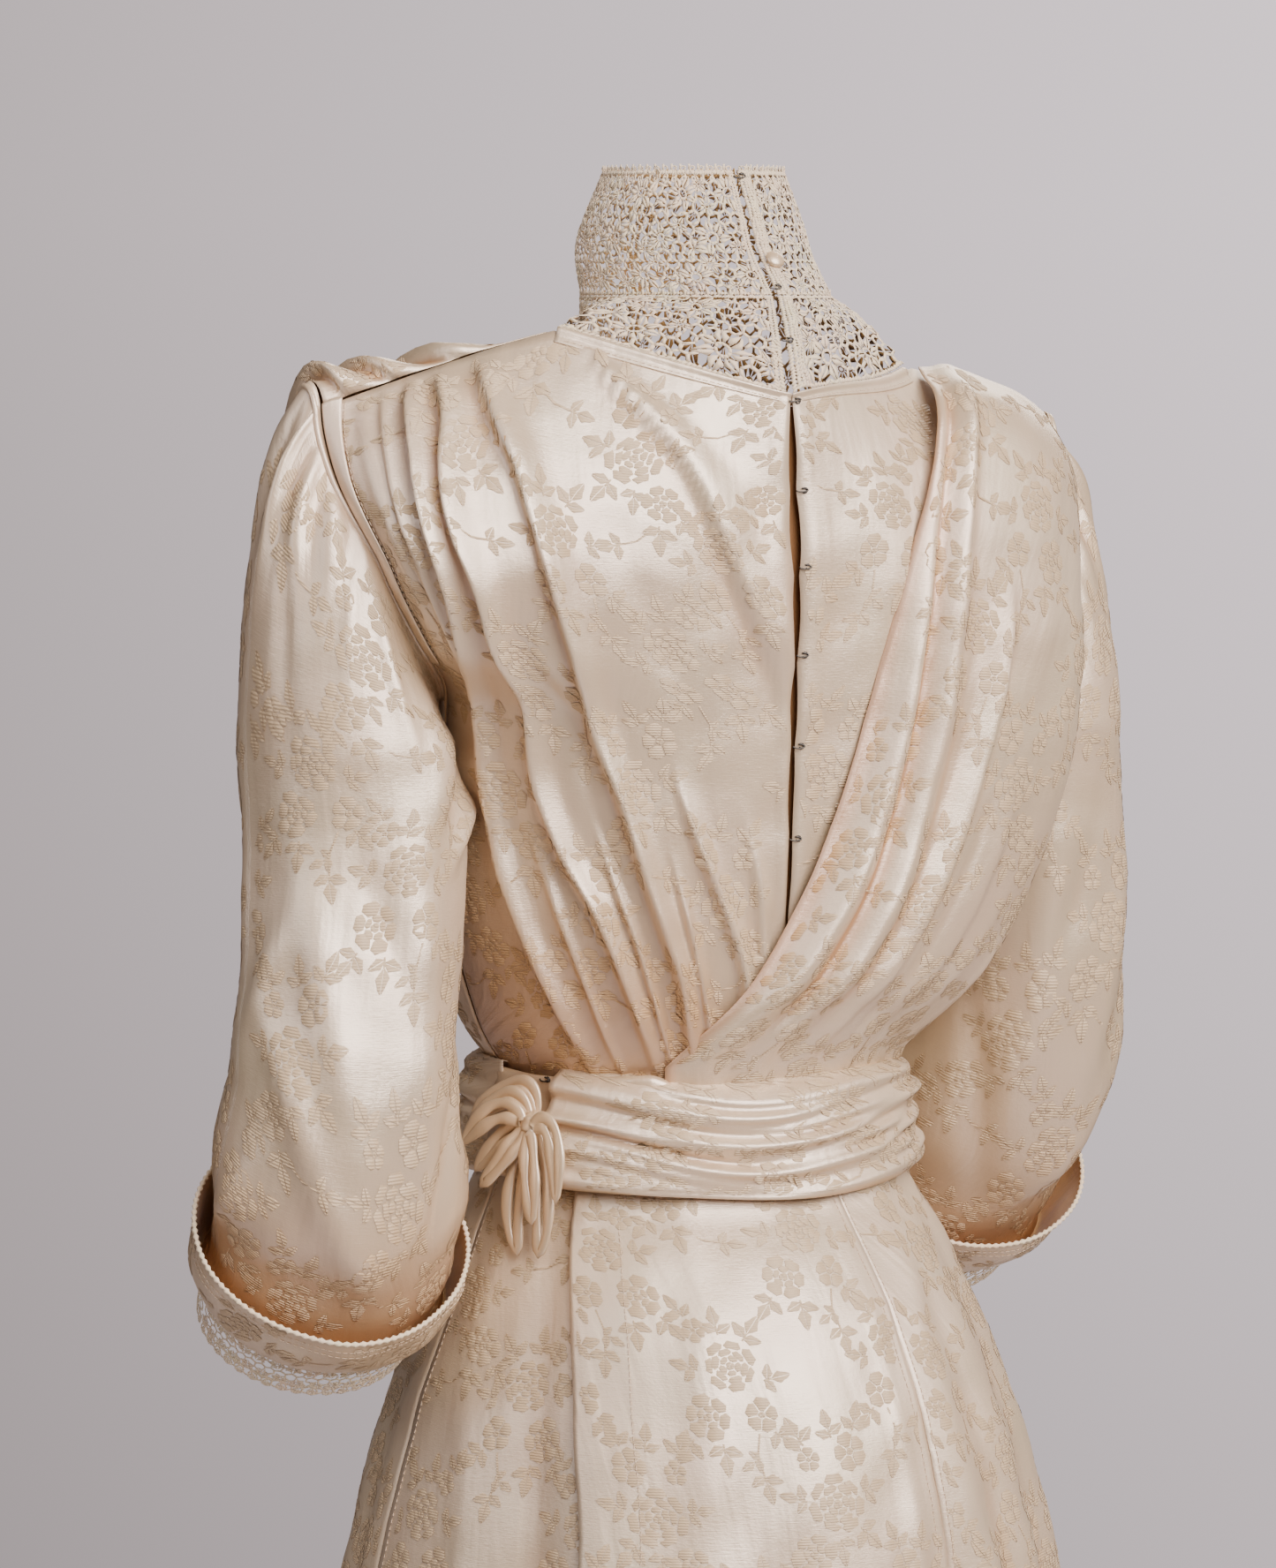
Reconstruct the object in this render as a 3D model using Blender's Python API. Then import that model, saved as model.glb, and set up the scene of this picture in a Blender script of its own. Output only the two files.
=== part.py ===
# Tea gown of about 1910, worn shape, in metres with +Z up.
# The wearer faces -Y and the wearer's left is +X. The origin is the centre of the neck, at nape height.

import math
import bpy
import bmesh
import numpy as np
from mathutils import Vector
from mathutils.geometry import delaunay_2d_cdt

# Cloth and gaps
SATIN = 0.0014
LACE = 0.0016
SEAM_GAP = 0.0004
LAP = 0.0020

# Heights of the main lines
COLLAR_TOP = 0.067
COLLAR_BASE = 0.006
NECKLINE_BACK = -0.042
NECK_POINT = -0.009
SHOULDER_TIP = -0.047
WAIST = -0.384
BELT_TOP = -0.376
BELT_BOTTOM = -0.432
SKIRT_TOP = -0.3845
HEM = -1.420

# Places on the plan
NECK_POINT_X = 0.098
NECK_POINT_Y = 0.050
TIP_X = 0.205
TIP_Y = 0.0125
SIDE_Y = 0.0
RIGHT_DROOP = 0.019
WAIST_WIDE = 0.099
WAIST_BACK = 0.088
WAIST_FRONT = 0.086

IVORY = (0.80, 0.70, 0.58, 1.0)
CREAM = (0.84, 0.76, 0.64, 1.0)


def clear_scene():
    for item in list(bpy.data.objects):
        bpy.data.objects.remove(item, do_unlink=True)


def cloth_material(name, colour, roughness):
    material = bpy.data.materials.new(name)
    material.use_nodes = True
    shader = material.node_tree.nodes["Principled BSDF"]
    shader.inputs["Base Color"].default_value = colour
    shader.inputs["Roughness"].default_value = roughness
    shader.inputs["Metallic"].default_value = 0.0
    return material


def column(table, name):
    return np.array([row[name] for row in table], dtype=float)


def follow(at, values, where):
    # Smooth curve through the table's values: cubic pieces whose slopes never overshoot.
    at = np.asarray(at, dtype=float)
    values = np.asarray(values, dtype=float)
    where = np.clip(np.asarray(where, dtype=float), at[0], at[-1])
    step = np.diff(at)
    slope = np.diff(values) / step
    tangent = np.zeros(len(at))
    same_way = slope[1:] * slope[:-1] > 0
    inner = np.zeros(len(at) - 2)
    inner[same_way] = 2 * slope[1:][same_way] * slope[:-1][same_way] / (slope[1:] + slope[:-1])[same_way]
    tangent[1:-1] = inner
    tangent[0] = slope[0]
    tangent[-1] = slope[-1]
    cell = np.clip(np.searchsorted(at, where, side="right") - 1, 0, len(at) - 2)
    t = (where - at[cell]) / step[cell]
    h = step[cell]
    return ((2 * t**3 - 3 * t**2 + 1) * values[cell] + (t**3 - 2 * t**2 + t) * h * tangent[cell]
            + (-2 * t**3 + 3 * t**2) * values[cell + 1] + (t**3 - t**2) * h * tangent[cell + 1])


def unit(vectors):
    length = np.linalg.norm(vectors, axis=-1, keepdims=True)
    return vectors / np.maximum(length, 1e-12)


def power(value, exponent):
    return np.sign(value) * np.abs(value) ** exponent


def soft_step(value):
    value = np.clip(value, 0.0, 1.0)
    return value * value * (3 - 2 * value)


def add_body(name, points, faces, material):
    mesh = bpy.data.meshes.new(name)
    mesh.from_pydata([tuple(p) for p in points], [], faces)
    shape = bmesh.new()
    shape.from_mesh(mesh)
    bmesh.ops.recalc_face_normals(shape, faces=shape.faces)
    shape.to_mesh(mesh)
    shape.free()
    mesh.shade_smooth()
    mesh.set_sharp_from_angle(angle=math.radians(50))
    body = bpy.data.objects.new(name, mesh)
    bpy.context.scene.collection.objects.link(body)
    mesh.materials.append(material)
    return body


def cloth_wall(name, outer, inward, thickness, material, tube=False):
    # A closed wall between a grid of outer points and the same grid moved inward.
    rows, cols = outer.shape[:2]
    inner = outer + inward * thickness
    points = np.concatenate([outer.reshape(-1, 3), inner.reshape(-1, 3)])
    count = rows * cols

    def out(i, j):
        return i * cols + j % cols

    def back(i, j):
        return count + out(i, j)

    faces = []
    last = cols if tube else cols - 1
    for i in range(rows - 1):
        for j in range(last):
            faces.append((out(i, j), out(i, j + 1), out(i + 1, j + 1), out(i + 1, j)))
            faces.append((back(i, j), back(i + 1, j), back(i + 1, j + 1), back(i, j + 1)))
    for j in range(last):
        faces.append((out(0, j + 1), out(0, j), back(0, j), back(0, j + 1)))
        faces.append((out(rows - 1, j), out(rows - 1, j + 1), back(rows - 1, j + 1), back(rows - 1, j)))
    if not tube:
        for i in range(rows - 1):
            faces.append((out(i, 0), out(i + 1, 0), back(i + 1, 0), back(i, 0)))
            faces.append((out(i + 1, cols - 1), out(i, cols - 1), back(i, cols - 1), back(i + 1, cols - 1)))
    return add_body(name, points, faces, material)


def grid_normals(points, tube=False):
    # Unit normals of a grid, from the differences between neighbouring points.
    if tube:
        across = np.roll(points, -1, axis=1) - np.roll(points, 1, axis=1)
    else:
        across = np.gradient(points, axis=1)
    down = np.gradient(points, axis=0)
    return unit(np.cross(across, down))


# The bodice

# One row for each height of the back: the outer edge is the armhole, then the side seam.
BACK_ROWS = [
    {"v": 0.00, "x": TIP_X, "y": TIP_Y, "z": SHOULDER_TIP, "cy": 0.108, "cz": NECKLINE_BACK, "full": 0.80},
    {"v": 0.12, "x": 0.201, "y": 0.026, "z": -0.080, "cy": 0.111, "cz": -0.084, "full": 0.76},
    {"v": 0.26, "x": 0.185, "y": 0.040, "z": -0.126, "cy": 0.113, "cz": -0.131, "full": 0.76},
    {"v": 0.37, "x": 0.164, "y": 0.036, "z": -0.162, "cy": 0.112, "cz": -0.170, "full": 0.79},
    {"v": 0.46, "x": 0.142, "y": 0.016, "z": -0.190, "cy": 0.111, "cz": -0.199, "full": 0.82},
    {"v": 0.58, "x": 0.138, "y": 0.004, "z": -0.236, "cy": 0.109, "cz": -0.240, "full": 0.86},
    {"v": 0.72, "x": 0.134, "y": SIDE_Y, "z": -0.290, "cy": 0.106, "cz": -0.290, "full": 0.89},
    {"v": 0.90, "x": 0.118, "y": SIDE_Y, "z": -0.352, "cy": 0.099, "cz": -0.350, "full": 0.95},
    {"v": 1.00, "x": WAIST_WIDE, "y": SIDE_Y, "z": WAIST, "cy": WAIST_BACK, "cz": WAIST, "full": 1.00},
]

# The front has the same side seam and shoulder tip, with its own armhole curve and centre line.
FRONT_ROWS = [
    {"v": 0.00, "x": TIP_X, "y": TIP_Y, "z": SHOULDER_TIP, "cy": -0.078, "cz": -0.080, "full": 0.95},
    {"v": 0.06, "x": 0.209, "y": -0.012, "z": -0.050, "cy": -0.090, "cz": -0.096, "full": 0.90},
    {"v": 0.14, "x": 0.194, "y": -0.034, "z": -0.080, "cy": -0.103, "cz": -0.114, "full": 0.85},
    {"v": 0.26, "x": 0.172, "y": -0.044, "z": -0.126, "cy": -0.118, "cz": -0.145, "full": 0.82},
    {"v": 0.37, "x": 0.158, "y": -0.030, "z": -0.162, "cy": -0.126, "cz": -0.178, "full": 0.84},
    {"v": 0.46, "x": 0.142, "y": 0.0150, "z": -0.190, "cy": -0.127, "cz": -0.205, "full": 0.84},
    {"v": 0.58, "x": 0.138, "y": 0.0030, "z": -0.236, "cy": -0.124, "cz": -0.240, "full": 0.88},
    {"v": 0.72, "x": 0.134, "y": SIDE_Y, "z": -0.290, "cy": -0.115, "cz": -0.290, "full": 0.90},
    {"v": 0.90, "x": 0.118, "y": SIDE_Y, "z": -0.352, "cy": -0.102, "cz": -0.352, "full": 0.95},
    {"v": 1.00, "x": WAIST_WIDE, "y": SIDE_Y, "z": WAIST, "cy": -WAIST_FRONT, "cz": WAIST, "full": 1.00},
]

NECK_SHARE = 0.46
CENTRE_GAP = 0.0003
SIDE_SHARE = 0.9965
TOP_REACH = 0.26
RIDGE_AT = 0.07
RIDGE_RISE = 0.015


def outward(points):
    # Direction away from the body's core: flat round the trunk, turning upward over the shoulders.
    lift = np.maximum(0.0, points[..., 2] + 0.110) * 1.5
    return unit(np.stack([points[..., 0] * 0.6, points[..., 1] - 0.010, lift], axis=-1))


def top_edge(u, rows):
    # Neckline from the centre to the neck point, then the shoulder seam to its tip.
    first = rows[0]
    neck = np.clip(u / NECK_SHARE, 0.0, 1.0)
    seam = np.clip((u - NECK_SHARE) / (1 - NECK_SHARE), 0.0, 1.0)
    x = NECK_POINT_X * neck + (TIP_X - NECK_POINT_X) * seam
    y = first["cy"] + (NECK_POINT_Y - first["cy"]) * neck ** 1.35 + (TIP_Y - NECK_POINT_Y) * seam
    z = first["cz"] + (NECK_POINT - first["cz"]) * neck ** 1.15 + (SHOULDER_TIP - NECK_POINT) * seam ** 1.1
    return np.stack([x, y, z], axis=-1)


def bodice_points(u, v, rows, side):
    # u runs from the centre line to the armhole or side seam, v from the top edge to the waist.
    at = column(rows, "v")
    edge_x = follow(at, column(rows, "x"), v)
    edge_y = follow(at, column(rows, "y"), v)
    edge_z = follow(at, column(rows, "z"), v)
    centre_y = follow(at, column(rows, "cy"), v)
    centre_z = follow(at, column(rows, "cz"), v)
    full = follow(at, column(rows, "full"), v)
    turn = u * math.pi / 2
    x = edge_x * power(np.sin(turn), full)
    y = edge_y + (centre_y - edge_y) * power(np.cos(turn), full)
    z = centre_z + (edge_z - centre_z) * u**2
    arc = np.stack([x, y, z], axis=-1)
    near_top = (1 - np.clip(v / TOP_REACH, 0.0, 1.0)) ** 2
    blend = near_top[..., None]
    drop = np.zeros_like(arc)
    drop[..., 2] = (edge_z - SHOULDER_TIP) * u + (centre_z - rows[0]["cz"]) * (1 - u)
    points = arc * (1 - blend) + (top_edge(u, rows) + drop) * blend
    if rows is FRONT_ROWS:
        # The shoulder's highest line lies in front of the seam.
        rise = (v / RIDGE_AT) ** 2 * np.exp(2 * (1 - v / RIDGE_AT))
        points[..., 2] += RIDGE_RISE * rise * soft_step((u - 0.34) / 0.25)
    if side < 0:
        # The wearer's right shoulder hangs a little lower than the left.
        points[..., 2] -= RIGHT_DROOP * soft_step(u / NECK_SHARE) * (1 - soft_step(v / 0.55))
    points[..., 0] = (points[..., 0] + CENTRE_GAP * (1 - u)) * side
    return points


# Lines of flow: where a line that starts at share "top" of the upper edge meets the waist.
BACK_FLOW = [
    {"line": 0.00, "top": 0.00, "low": 0.00},
    {"line": 0.12, "top": 0.14, "low": 0.09},
    {"line": 0.25, "top": 0.30, "low": 0.17},
    {"line": 0.38, "top": 0.42, "low": 0.26},
    {"line": 0.50, "top": 0.54, "low": 0.34},
    {"line": 0.62, "top": 0.67, "low": 0.43},
    {"line": 0.72, "top": 0.78, "low": 0.51},
    {"line": 0.80, "top": 0.86, "low": 0.60},
    {"line": 0.88, "top": 0.93, "low": 0.72},
    {"line": 1.00, "top": 1.00, "low": 1.00},
]

FRONT_FLOW = [
    {"line": 0.00, "top": 0.00, "low": 0.00},
    {"line": 0.35, "top": 0.42, "low": 0.24},
    {"line": 0.70, "top": 0.78, "low": 0.56},
    {"line": 1.00, "top": 1.00, "low": 1.00},
]

# Folds of the back left panel, each along a line of flow: where it starts and ends down the panel,
# its height, and its half width. The steep flank faces the armhole.
LEFT_FOLDS = [
    {"line": 0.84, "v0": 0.00, "v1": 0.72, "high": 0.0042, "wide": 0.032},
    {"line": 0.755, "v0": 0.00, "v1": 0.98, "high": 0.0058, "wide": 0.036},
    {"line": 0.655, "v0": 0.00, "v1": 1.10, "high": 0.0072, "wide": 0.048},
    {"line": 0.52, "v0": 0.06, "v1": 1.10, "high": 0.0062, "wide": 0.052},
    {"line": 0.36, "v0": 0.05, "v1": 1.10, "high": 0.0072, "wide": 0.052},
    {"line": 0.22, "v0": 0.45, "v1": 1.10, "high": 0.0045, "wide": 0.044},
    {"line": 0.12, "v0": 0.60, "v1": 1.10, "high": 0.0035, "wide": 0.036},
]

FRONT_FOLDS = [
    {"line": 0.86, "v0": 0.00, "v1": 0.80, "high": 0.0060, "wide": 0.050},
    {"line": 0.70, "v0": 0.00, "v1": 1.10, "high": 0.0065, "wide": 0.055},
    {"line": 0.54, "v0": 0.00, "v1": 1.10, "high": 0.0065, "wide": 0.055},
    {"line": 0.30, "v0": 0.40, "v1": 1.10, "high": 0.0050, "wide": 0.060},
]


def flow_share(line, v, flow):
    at = column(flow, "line")
    along = np.clip(v, 0.0, 1.0) ** 0.85
    return follow(at, column(flow, "top"), line) * (1 - along) + follow(at, column(flow, "low"), line) * along


def fold_height(line, v, folds):
    # Each fold is a ridge that fades in, swells downward and is steep on one flank.
    height = np.zeros_like(line)
    for fold in folds:
        along = (v - fold["v0"]) / (fold["v1"] - fold["v0"])
        across = (line - fold["line"]) / fold["wide"]
        steep = np.where(across > 0, across * 2.0, across)
        swell = soft_step(along / 0.22 + 0.10) * soft_step((1.0 - along) / 0.22)
        height += fold["high"] * swell * np.exp(-steep**2)
    return height


def fold_lines(folds, first, last, step):
    # Grid lines: one on each ridge, one at the foot of each flank, and even ones between.
    marks = [first, last]
    for fold in folds:
        for part in (-1.0, 0.0, 0.55):
            marks.append(fold["line"] + part * fold["wide"])
    marks = sorted(mark for mark in marks if first <= mark <= last)
    lines = [marks[0]]
    for mark in marks[1:]:
        if mark - lines[-1] < 0.010 and mark < last:
            continue
        pieces = max(1, int(round((mark - lines[-1]) / step)))
        begin = lines[-1]
        lines.extend(begin + (mark - begin) * (k + 1) / pieces for k in range(pieces))
    return np.array(lines)


def waist_press(v):
    # The sash presses the folds nearly flat at the waist.
    return 1.0 - 0.80 * soft_step((v - 0.86) / 0.14)


def bodice_panel(name, rows, side, flow, folds, levels, material, step=0.062):
    lines = fold_lines(folds, 0.0, SIDE_SHARE, step)
    line, v = np.meshgrid(lines, levels)
    u = flow_share(line, v, flow)
    base = bodice_points(u, v, rows, side)
    away = outward(base)
    edge_hold = soft_step(v / 0.05) * soft_step((0.965 - u) / 0.04)
    if rows is FRONT_ROWS:
        edge_hold = soft_step((v + 0.02) / 0.05) * soft_step((0.965 - u) / 0.04)
    outer = base + away * (fold_height(line, v, folds) * edge_hold * waist_press(v))[..., None]
    return cloth_wall(name, outer, -away, SATIN, material)


PLAIN_FLOW = [
    {"line": 0.0, "top": 0.0, "low": 0.0},
    {"line": 1.0, "top": 1.0, "low": 1.0},
]


BACK_LEVELS = np.array([0.004, 0.05, 0.12, 0.20, 0.29, 0.37, 0.46, 0.56, 0.67, 0.78, 0.87, 0.94, 1.0])
FRONT_LEVELS = np.array([0.004, 0.04, 0.09, 0.16, 0.26, 0.37, 0.46, 0.62, 0.80, 0.92, 1.0])


def make_bodice(satin):
    bodice_panel("bodice_back_left", BACK_ROWS, 1, BACK_FLOW, LEFT_FOLDS, BACK_LEVELS, satin)
    bodice_panel("bodice_front_left", FRONT_ROWS, 1, FRONT_FLOW, FRONT_FOLDS, FRONT_LEVELS, satin)
    bodice_panel("bodice_front_right", FRONT_ROWS, -1, FRONT_FLOW, FRONT_FOLDS, FRONT_LEVELS, satin)
    bodice_panel("bodice_back_right", BACK_ROWS, -1, PLAIN_FLOW, [], BACK_LEVELS, satin, 0.14)


# The draped over-panel of the back right: its inner fold, its outer edge and how far it stands off.
DRAPE_ROWS = [
    {"s": 0.00, "ix": -0.103, "iy": 0.051, "iz": -0.031, "ox": -0.197, "oy": 0.017, "oz": -0.066, "turn": 90},
    {"s": 0.06, "ix": -0.095, "iy": 0.074, "iz": -0.043, "ox": -0.196, "oy": 0.026, "oz": -0.082, "turn": 90},
    {"s": 0.14, "ix": -0.084, "iy": 0.092, "iz": -0.066, "ox": -0.193, "oy": 0.035, "oz": -0.102, "turn": 90},
    {"s": 0.28, "ix": -0.066, "iy": 0.106, "iz": -0.110, "ox": -0.186, "oy": 0.051, "oz": -0.140, "turn": 91},
    {"s": 0.44, "ix": -0.050, "iy": 0.112, "iz": -0.162, "ox": -0.181, "oy": 0.065, "oz": -0.180, "turn": 94},
    {"s": 0.60, "ix": -0.033, "iy": 0.113, "iz": -0.216, "ox": -0.172, "oy": 0.068, "oz": -0.232, "turn": 94},
    {"s": 0.75, "ix": -0.011, "iy": 0.112, "iz": -0.272, "ox": -0.157, "oy": 0.064, "oz": -0.280, "turn": 96},
    {"s": 0.88, "ix": 0.020, "iy": 0.107, "iz": -0.326, "ox": -0.134, "oy": 0.054, "oz": -0.330, "turn": 98},
    {"s": 1.00, "ix": 0.056, "iy": 0.084, "iz": -0.370, "ox": -0.104, "oy": 0.026, "oz": -0.374, "turn": 98},
]

DRAPE_FOLDS = [
    {"line": 0.050, "v0": -0.20, "v1": 1.20, "high": 0.0065, "wide": 0.050},
    {"line": 0.190, "v0": 0.00, "v1": 1.20, "high": 0.0085, "wide": 0.055},
    {"line": 0.330, "v0": 0.35, "v1": 1.20, "high": 0.0045, "wide": 0.060},
    {"line": 0.500, "v0": 0.50, "v1": 1.20, "high": 0.0045, "wide": 0.070},
]


def back_depth(x, z):
    # How far behind the axis the plain back lies at a place across and a height.
    at = -column(BACK_ROWS, "cz")
    wide = follow(at, column(BACK_ROWS, "x"), -z)
    edge = follow(at, column(BACK_ROWS, "y"), -z)
    centre = follow(at, column(BACK_ROWS, "cy"), -z)
    full = follow(at, column(BACK_ROWS, "full"), -z)
    share = np.clip(np.abs(x) / wide, 0.0, 1.0)
    depth = edge + (centre - edge) * (1 - share ** (2 / full)) ** (full / 2)
    return np.where(np.abs(x) < wide, depth, 0.0)


def drape_points(u, v):
    # Rows swing from the inner fold, round the back and past the outer edge, in towards the side.
    at = column(DRAPE_ROWS, "s")

    def read(name):
        return follow(at, column(DRAPE_ROWS, name), v)

    turn = np.radians(read("turn")) * u
    x = read("ix") + (read("ox") - read("ix")) * power(np.sin(turn), 0.86)
    y = read("oy") + (read("iy") - read("oy")) * power(np.cos(turn), 0.86)
    z = read("iz") + (read("oz") - read("iz")) * np.clip(u * 1.3, 0.0, 1.0) ** 1.2
    low = soft_step((-z - 0.26) / 0.06)
    y = y + low * np.maximum(back_depth(x, z) - y, 0.0)
    return np.stack([x, y, z], axis=-1)


OVER_LEFT = 0.0045


def make_drape(satin):
    levels = np.array([0.0, 0.05, 0.11, 0.19, 0.28, 0.38, 0.48, 0.58, 0.68, 0.78, 0.87, 0.94, 1.0])
    lines = fold_lines(DRAPE_FOLDS, 0.0, 1.0, 0.060)
    u, v = np.meshgrid(lines, levels)
    base = drape_points(u, v)
    away = outward(base)
    over_left = OVER_LEFT * soft_step((v - 0.62) / 0.2) * (1 - soft_step(u / 0.6))
    over_left = over_left * (1 - 0.5 * soft_step((v - 0.90) / 0.10))
    lap = SEAM_GAP + (LAP - SEAM_GAP) * soft_step(v / 0.10) * soft_step((1.0 - v) / 0.06)
    stand = lap + SATIN + 0.0030 * soft_step(u / 0.08) * waist_press(v) + over_left
    outer = base + away * (stand + fold_height(u, v, DRAPE_FOLDS) * waist_press(v))[..., None]
    cloth_wall("surplice_back_right", outer, -away, SATIN, satin)


# Neckline binding and armhole bands

BINDING_WIDE = 0.0050
BAND_SHARE = 0.050


def make_bindings(satin):
    for side, name, last in ((1, "left", NECK_SHARE * 0.985), (-1, "right", NECK_SHARE * 0.93)):
        u, v = np.meshgrid(np.linspace(0.0, last, 12), np.array([0.0, BINDING_WIDE / 0.34]))
        base = bodice_points(u, v, BACK_ROWS, side)
        away = outward(base)
        outer = base + away * (SATIN + SEAM_GAP)
        cloth_wall("neckline_binding_" + name, outer, -away, SATIN - 0.0002, satin)


def make_armhole_band(satin):
    # A folded edge that follows the left armhole from the shoulder seam down the back.
    u, v = np.meshgrid(np.array([1.0 - BAND_SHARE, 0.975, 0.992]), BACK_LEVELS[BACK_LEVELS < 0.40])
    base = bodice_points(u, v, BACK_ROWS, 1)
    away = outward(base)
    outer = base + away * (SATIN + 2.5 * SEAM_GAP)
    cloth_wall("armhole_band_left", outer, -away, SATIN - 0.0002, satin)


# Sleeves

def armhole(turn, side, grow):
    # turn 0 is the shoulder tip, half a turn is the underarm, behind first and then in front.
    # The points come back as on the left side, so that the sleeve is mirrored once, at its end.
    behind = np.clip(turn * 2, 0.0, 1.0) * 0.46
    before = np.clip((1 - turn) * 2, 0.0, 1.0) * 0.46
    one = np.ones_like(turn)
    back = bodice_points(one, behind, BACK_ROWS, side)
    front = bodice_points(one, before, FRONT_ROWS, side)
    points = np.where((turn <= 0.5)[..., None], back, front)
    points[..., 0] = points[..., 0] * side + grow
    return points


# Rings below the sleeve head: centre, radii across and fore and aft, and how far the arm pitches forward.
SLEEVE_GAP = 0.0012
HEAD_END = 0.30
HEAD_EASE = 0.004
HEAD_PUFF = 0.014

# "x" and "y" place the left arm, whose elbow is drawn back, and "rx" and "ry" the right, held forward.
SLEEVE_RINGS = [
    {"s": 0.30, "x": 0.1930, "y": 0.007, "rx": 0.1930, "ry": 0.005, "z": -0.212,
     "wide": 0.0500, "deep": 0.058, "pitch": 0},
    {"s": 0.45, "x": 0.1960, "y": 0.014, "rx": 0.1960, "ry": 0.005, "z": -0.265,
     "wide": 0.0480, "deep": 0.053, "pitch": -2},
    {"s": 0.60, "x": 0.2030, "y": 0.027, "rx": 0.1990, "ry": 0.001, "z": -0.320,
     "wide": 0.0490, "deep": 0.053, "pitch": 4},
    {"s": 0.74, "x": 0.2080, "y": 0.038, "rx": 0.2000, "ry": -0.013, "z": -0.370,
     "wide": 0.0540, "deep": 0.056, "pitch": 18},
    {"s": 0.86, "x": 0.2085, "y": 0.037, "rx": 0.1980, "ry": -0.038, "z": -0.414,
     "wide": 0.0632, "deep": 0.058, "pitch": 32},
    {"s": 0.95, "x": 0.2065, "y": 0.0255, "rx": 0.1955, "ry": -0.062, "z": -0.449,
     "wide": 0.0665, "deep": 0.057, "pitch": 41},
    {"s": 1.00, "x": 0.2050, "y": 0.0052, "rx": 0.1950, "ry": -0.0868, "z": -0.475,
     "wide": 0.0600, "deep": 0.052, "pitch": 43},
]


def ring_points(turn, row, side, grow=0.0, slide=0.0):
    # turn 0 points outward from the body, a quarter turn points back.
    angle = turn * 2 * math.pi
    pitch = math.radians(row["pitch"])
    along = Vector((0.0, -math.sin(pitch), -math.cos(pitch)))
    back = Vector((0.0, math.cos(pitch), -math.sin(pitch)))
    wide = row["wide"] + grow
    deep = row["deep"] + grow
    x = row["x"] + np.cos(angle) * wide + along.x * slide
    y = row["y"] + np.sin(angle) * deep * back.y + along.y * slide
    z = row["z"] + np.sin(angle) * deep * back.z + along.z * slide
    return np.stack([x * side, y, z], axis=-1)


def sleeve_row(s, side):
    at = column(SLEEVE_RINGS, "s")
    row = {name: float(follow(at, column(SLEEVE_RINGS, name), s)) for name in ("z", "wide", "deep", "pitch")}
    names = ("x", "y") if side > 0 else ("rx", "ry")
    row["x"], row["y"] = (float(follow(at, column(SLEEVE_RINGS, name), s)) for name in names)
    return row


SLEEVE_FOLDS = [
    {"turn": 0.16, "s": 0.62, "lean": 0.30, "high": 0.0045, "wide": 0.035, "long": 0.16},
    {"turn": 0.30, "s": 0.60, "lean": 0.10, "high": 0.0050, "wide": 0.040, "long": 0.20},
    {"turn": 0.33, "s": 0.34, "lean": -0.20, "high": 0.0060, "wide": 0.040, "long": 0.10},
    {"turn": 0.22, "s": 0.86, "lean": 0.25, "high": 0.0050, "wide": 0.050, "long": 0.10},
    {"turn": 0.80, "s": 0.66, "lean": -0.30, "high": 0.0050, "wide": 0.045, "long": 0.16},
]


def sleeve_points(turn, s, side):
    # Above the first ring a curve swings out from the armhole and down to that ring.
    first = sleeve_row(HEAD_END, side)
    points = np.zeros(turn.shape + (3,))
    for i in range(turn.shape[0]):
        if s[i, 0] < HEAD_END:
            t = s[i, 0] / HEAD_END
            start = armhole(turn[i], side, SLEEVE_GAP)
            end = ring_points(turn[i], first, 1)
            puff = HEAD_PUFF * np.maximum(np.cos(turn[i] * 2 * math.pi), 0.0)
            middle = np.stack([np.maximum(end[:, 0], start[:, 0] + HEAD_EASE + puff),
                               (start[:, 1] + end[:, 1]) / 2,
                               start[:, 2] * 0.80 + end[:, 2] * 0.20], axis=-1)
            points[i] = start * (1 - t)**2 + middle * 2 * t * (1 - t) + end * t**2
        else:
            flare = END_FLARE * soft_step((s[i, 0] - 0.94) / 0.06)
            points[i] = ring_points(turn[i], sleeve_row(s[i, 0], side), 1, flare)
    points[..., 0] *= side
    return points


def sleeve_fold_height(turn, s):
    height = np.zeros_like(turn)
    for fold in SLEEVE_FOLDS:
        along = (s - fold["s"]) / fold["long"]
        centre = fold["turn"] + fold["lean"] * (s - fold["s"])
        across = (turn - centre + 0.5) % 1.0 - 0.5
        height += fold["high"] * np.exp(-along**2 - (across / fold["wide"])**2)
    gathers = 0.0028 * np.cos(turn * 2 * math.pi * 12) * np.exp(-((s - 0.10) / 0.07)**2)
    head = np.maximum(np.cos(turn * 2 * math.pi), 0.0)
    return height + gathers * head


def make_sleeve(side, name, satin):
    cols = 22
    levels = np.array([0.0, 0.05, 0.12, 0.20, 0.29, 0.40, 0.52, 0.63, 0.74, 0.83, 0.92, 1.0])
    turn, s = np.meshgrid(np.arange(cols) / cols, levels)
    base = sleeve_points(turn, s, side)
    away = -grid_normals(base, tube=True) * side
    hold = soft_step(s / 0.05) * soft_step((1.0 - s) / 0.06)
    outer = base + away * (sleeve_fold_height(turn, s) * hold)[..., None]
    cloth_wall("sleeve_" + name, outer, -away, SATIN, satin, tube=True)


CUFF_HEIGHT = 0.036
CUFF_FLARE = 0.010
CUFF_FOLD = 0.001
LACE_TOP = -0.010
LACE_REACH = 0.031
LACE_TAPER = 0.16
END_FLARE = 0.0030
CUFF_STEP = 0.0044


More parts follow.
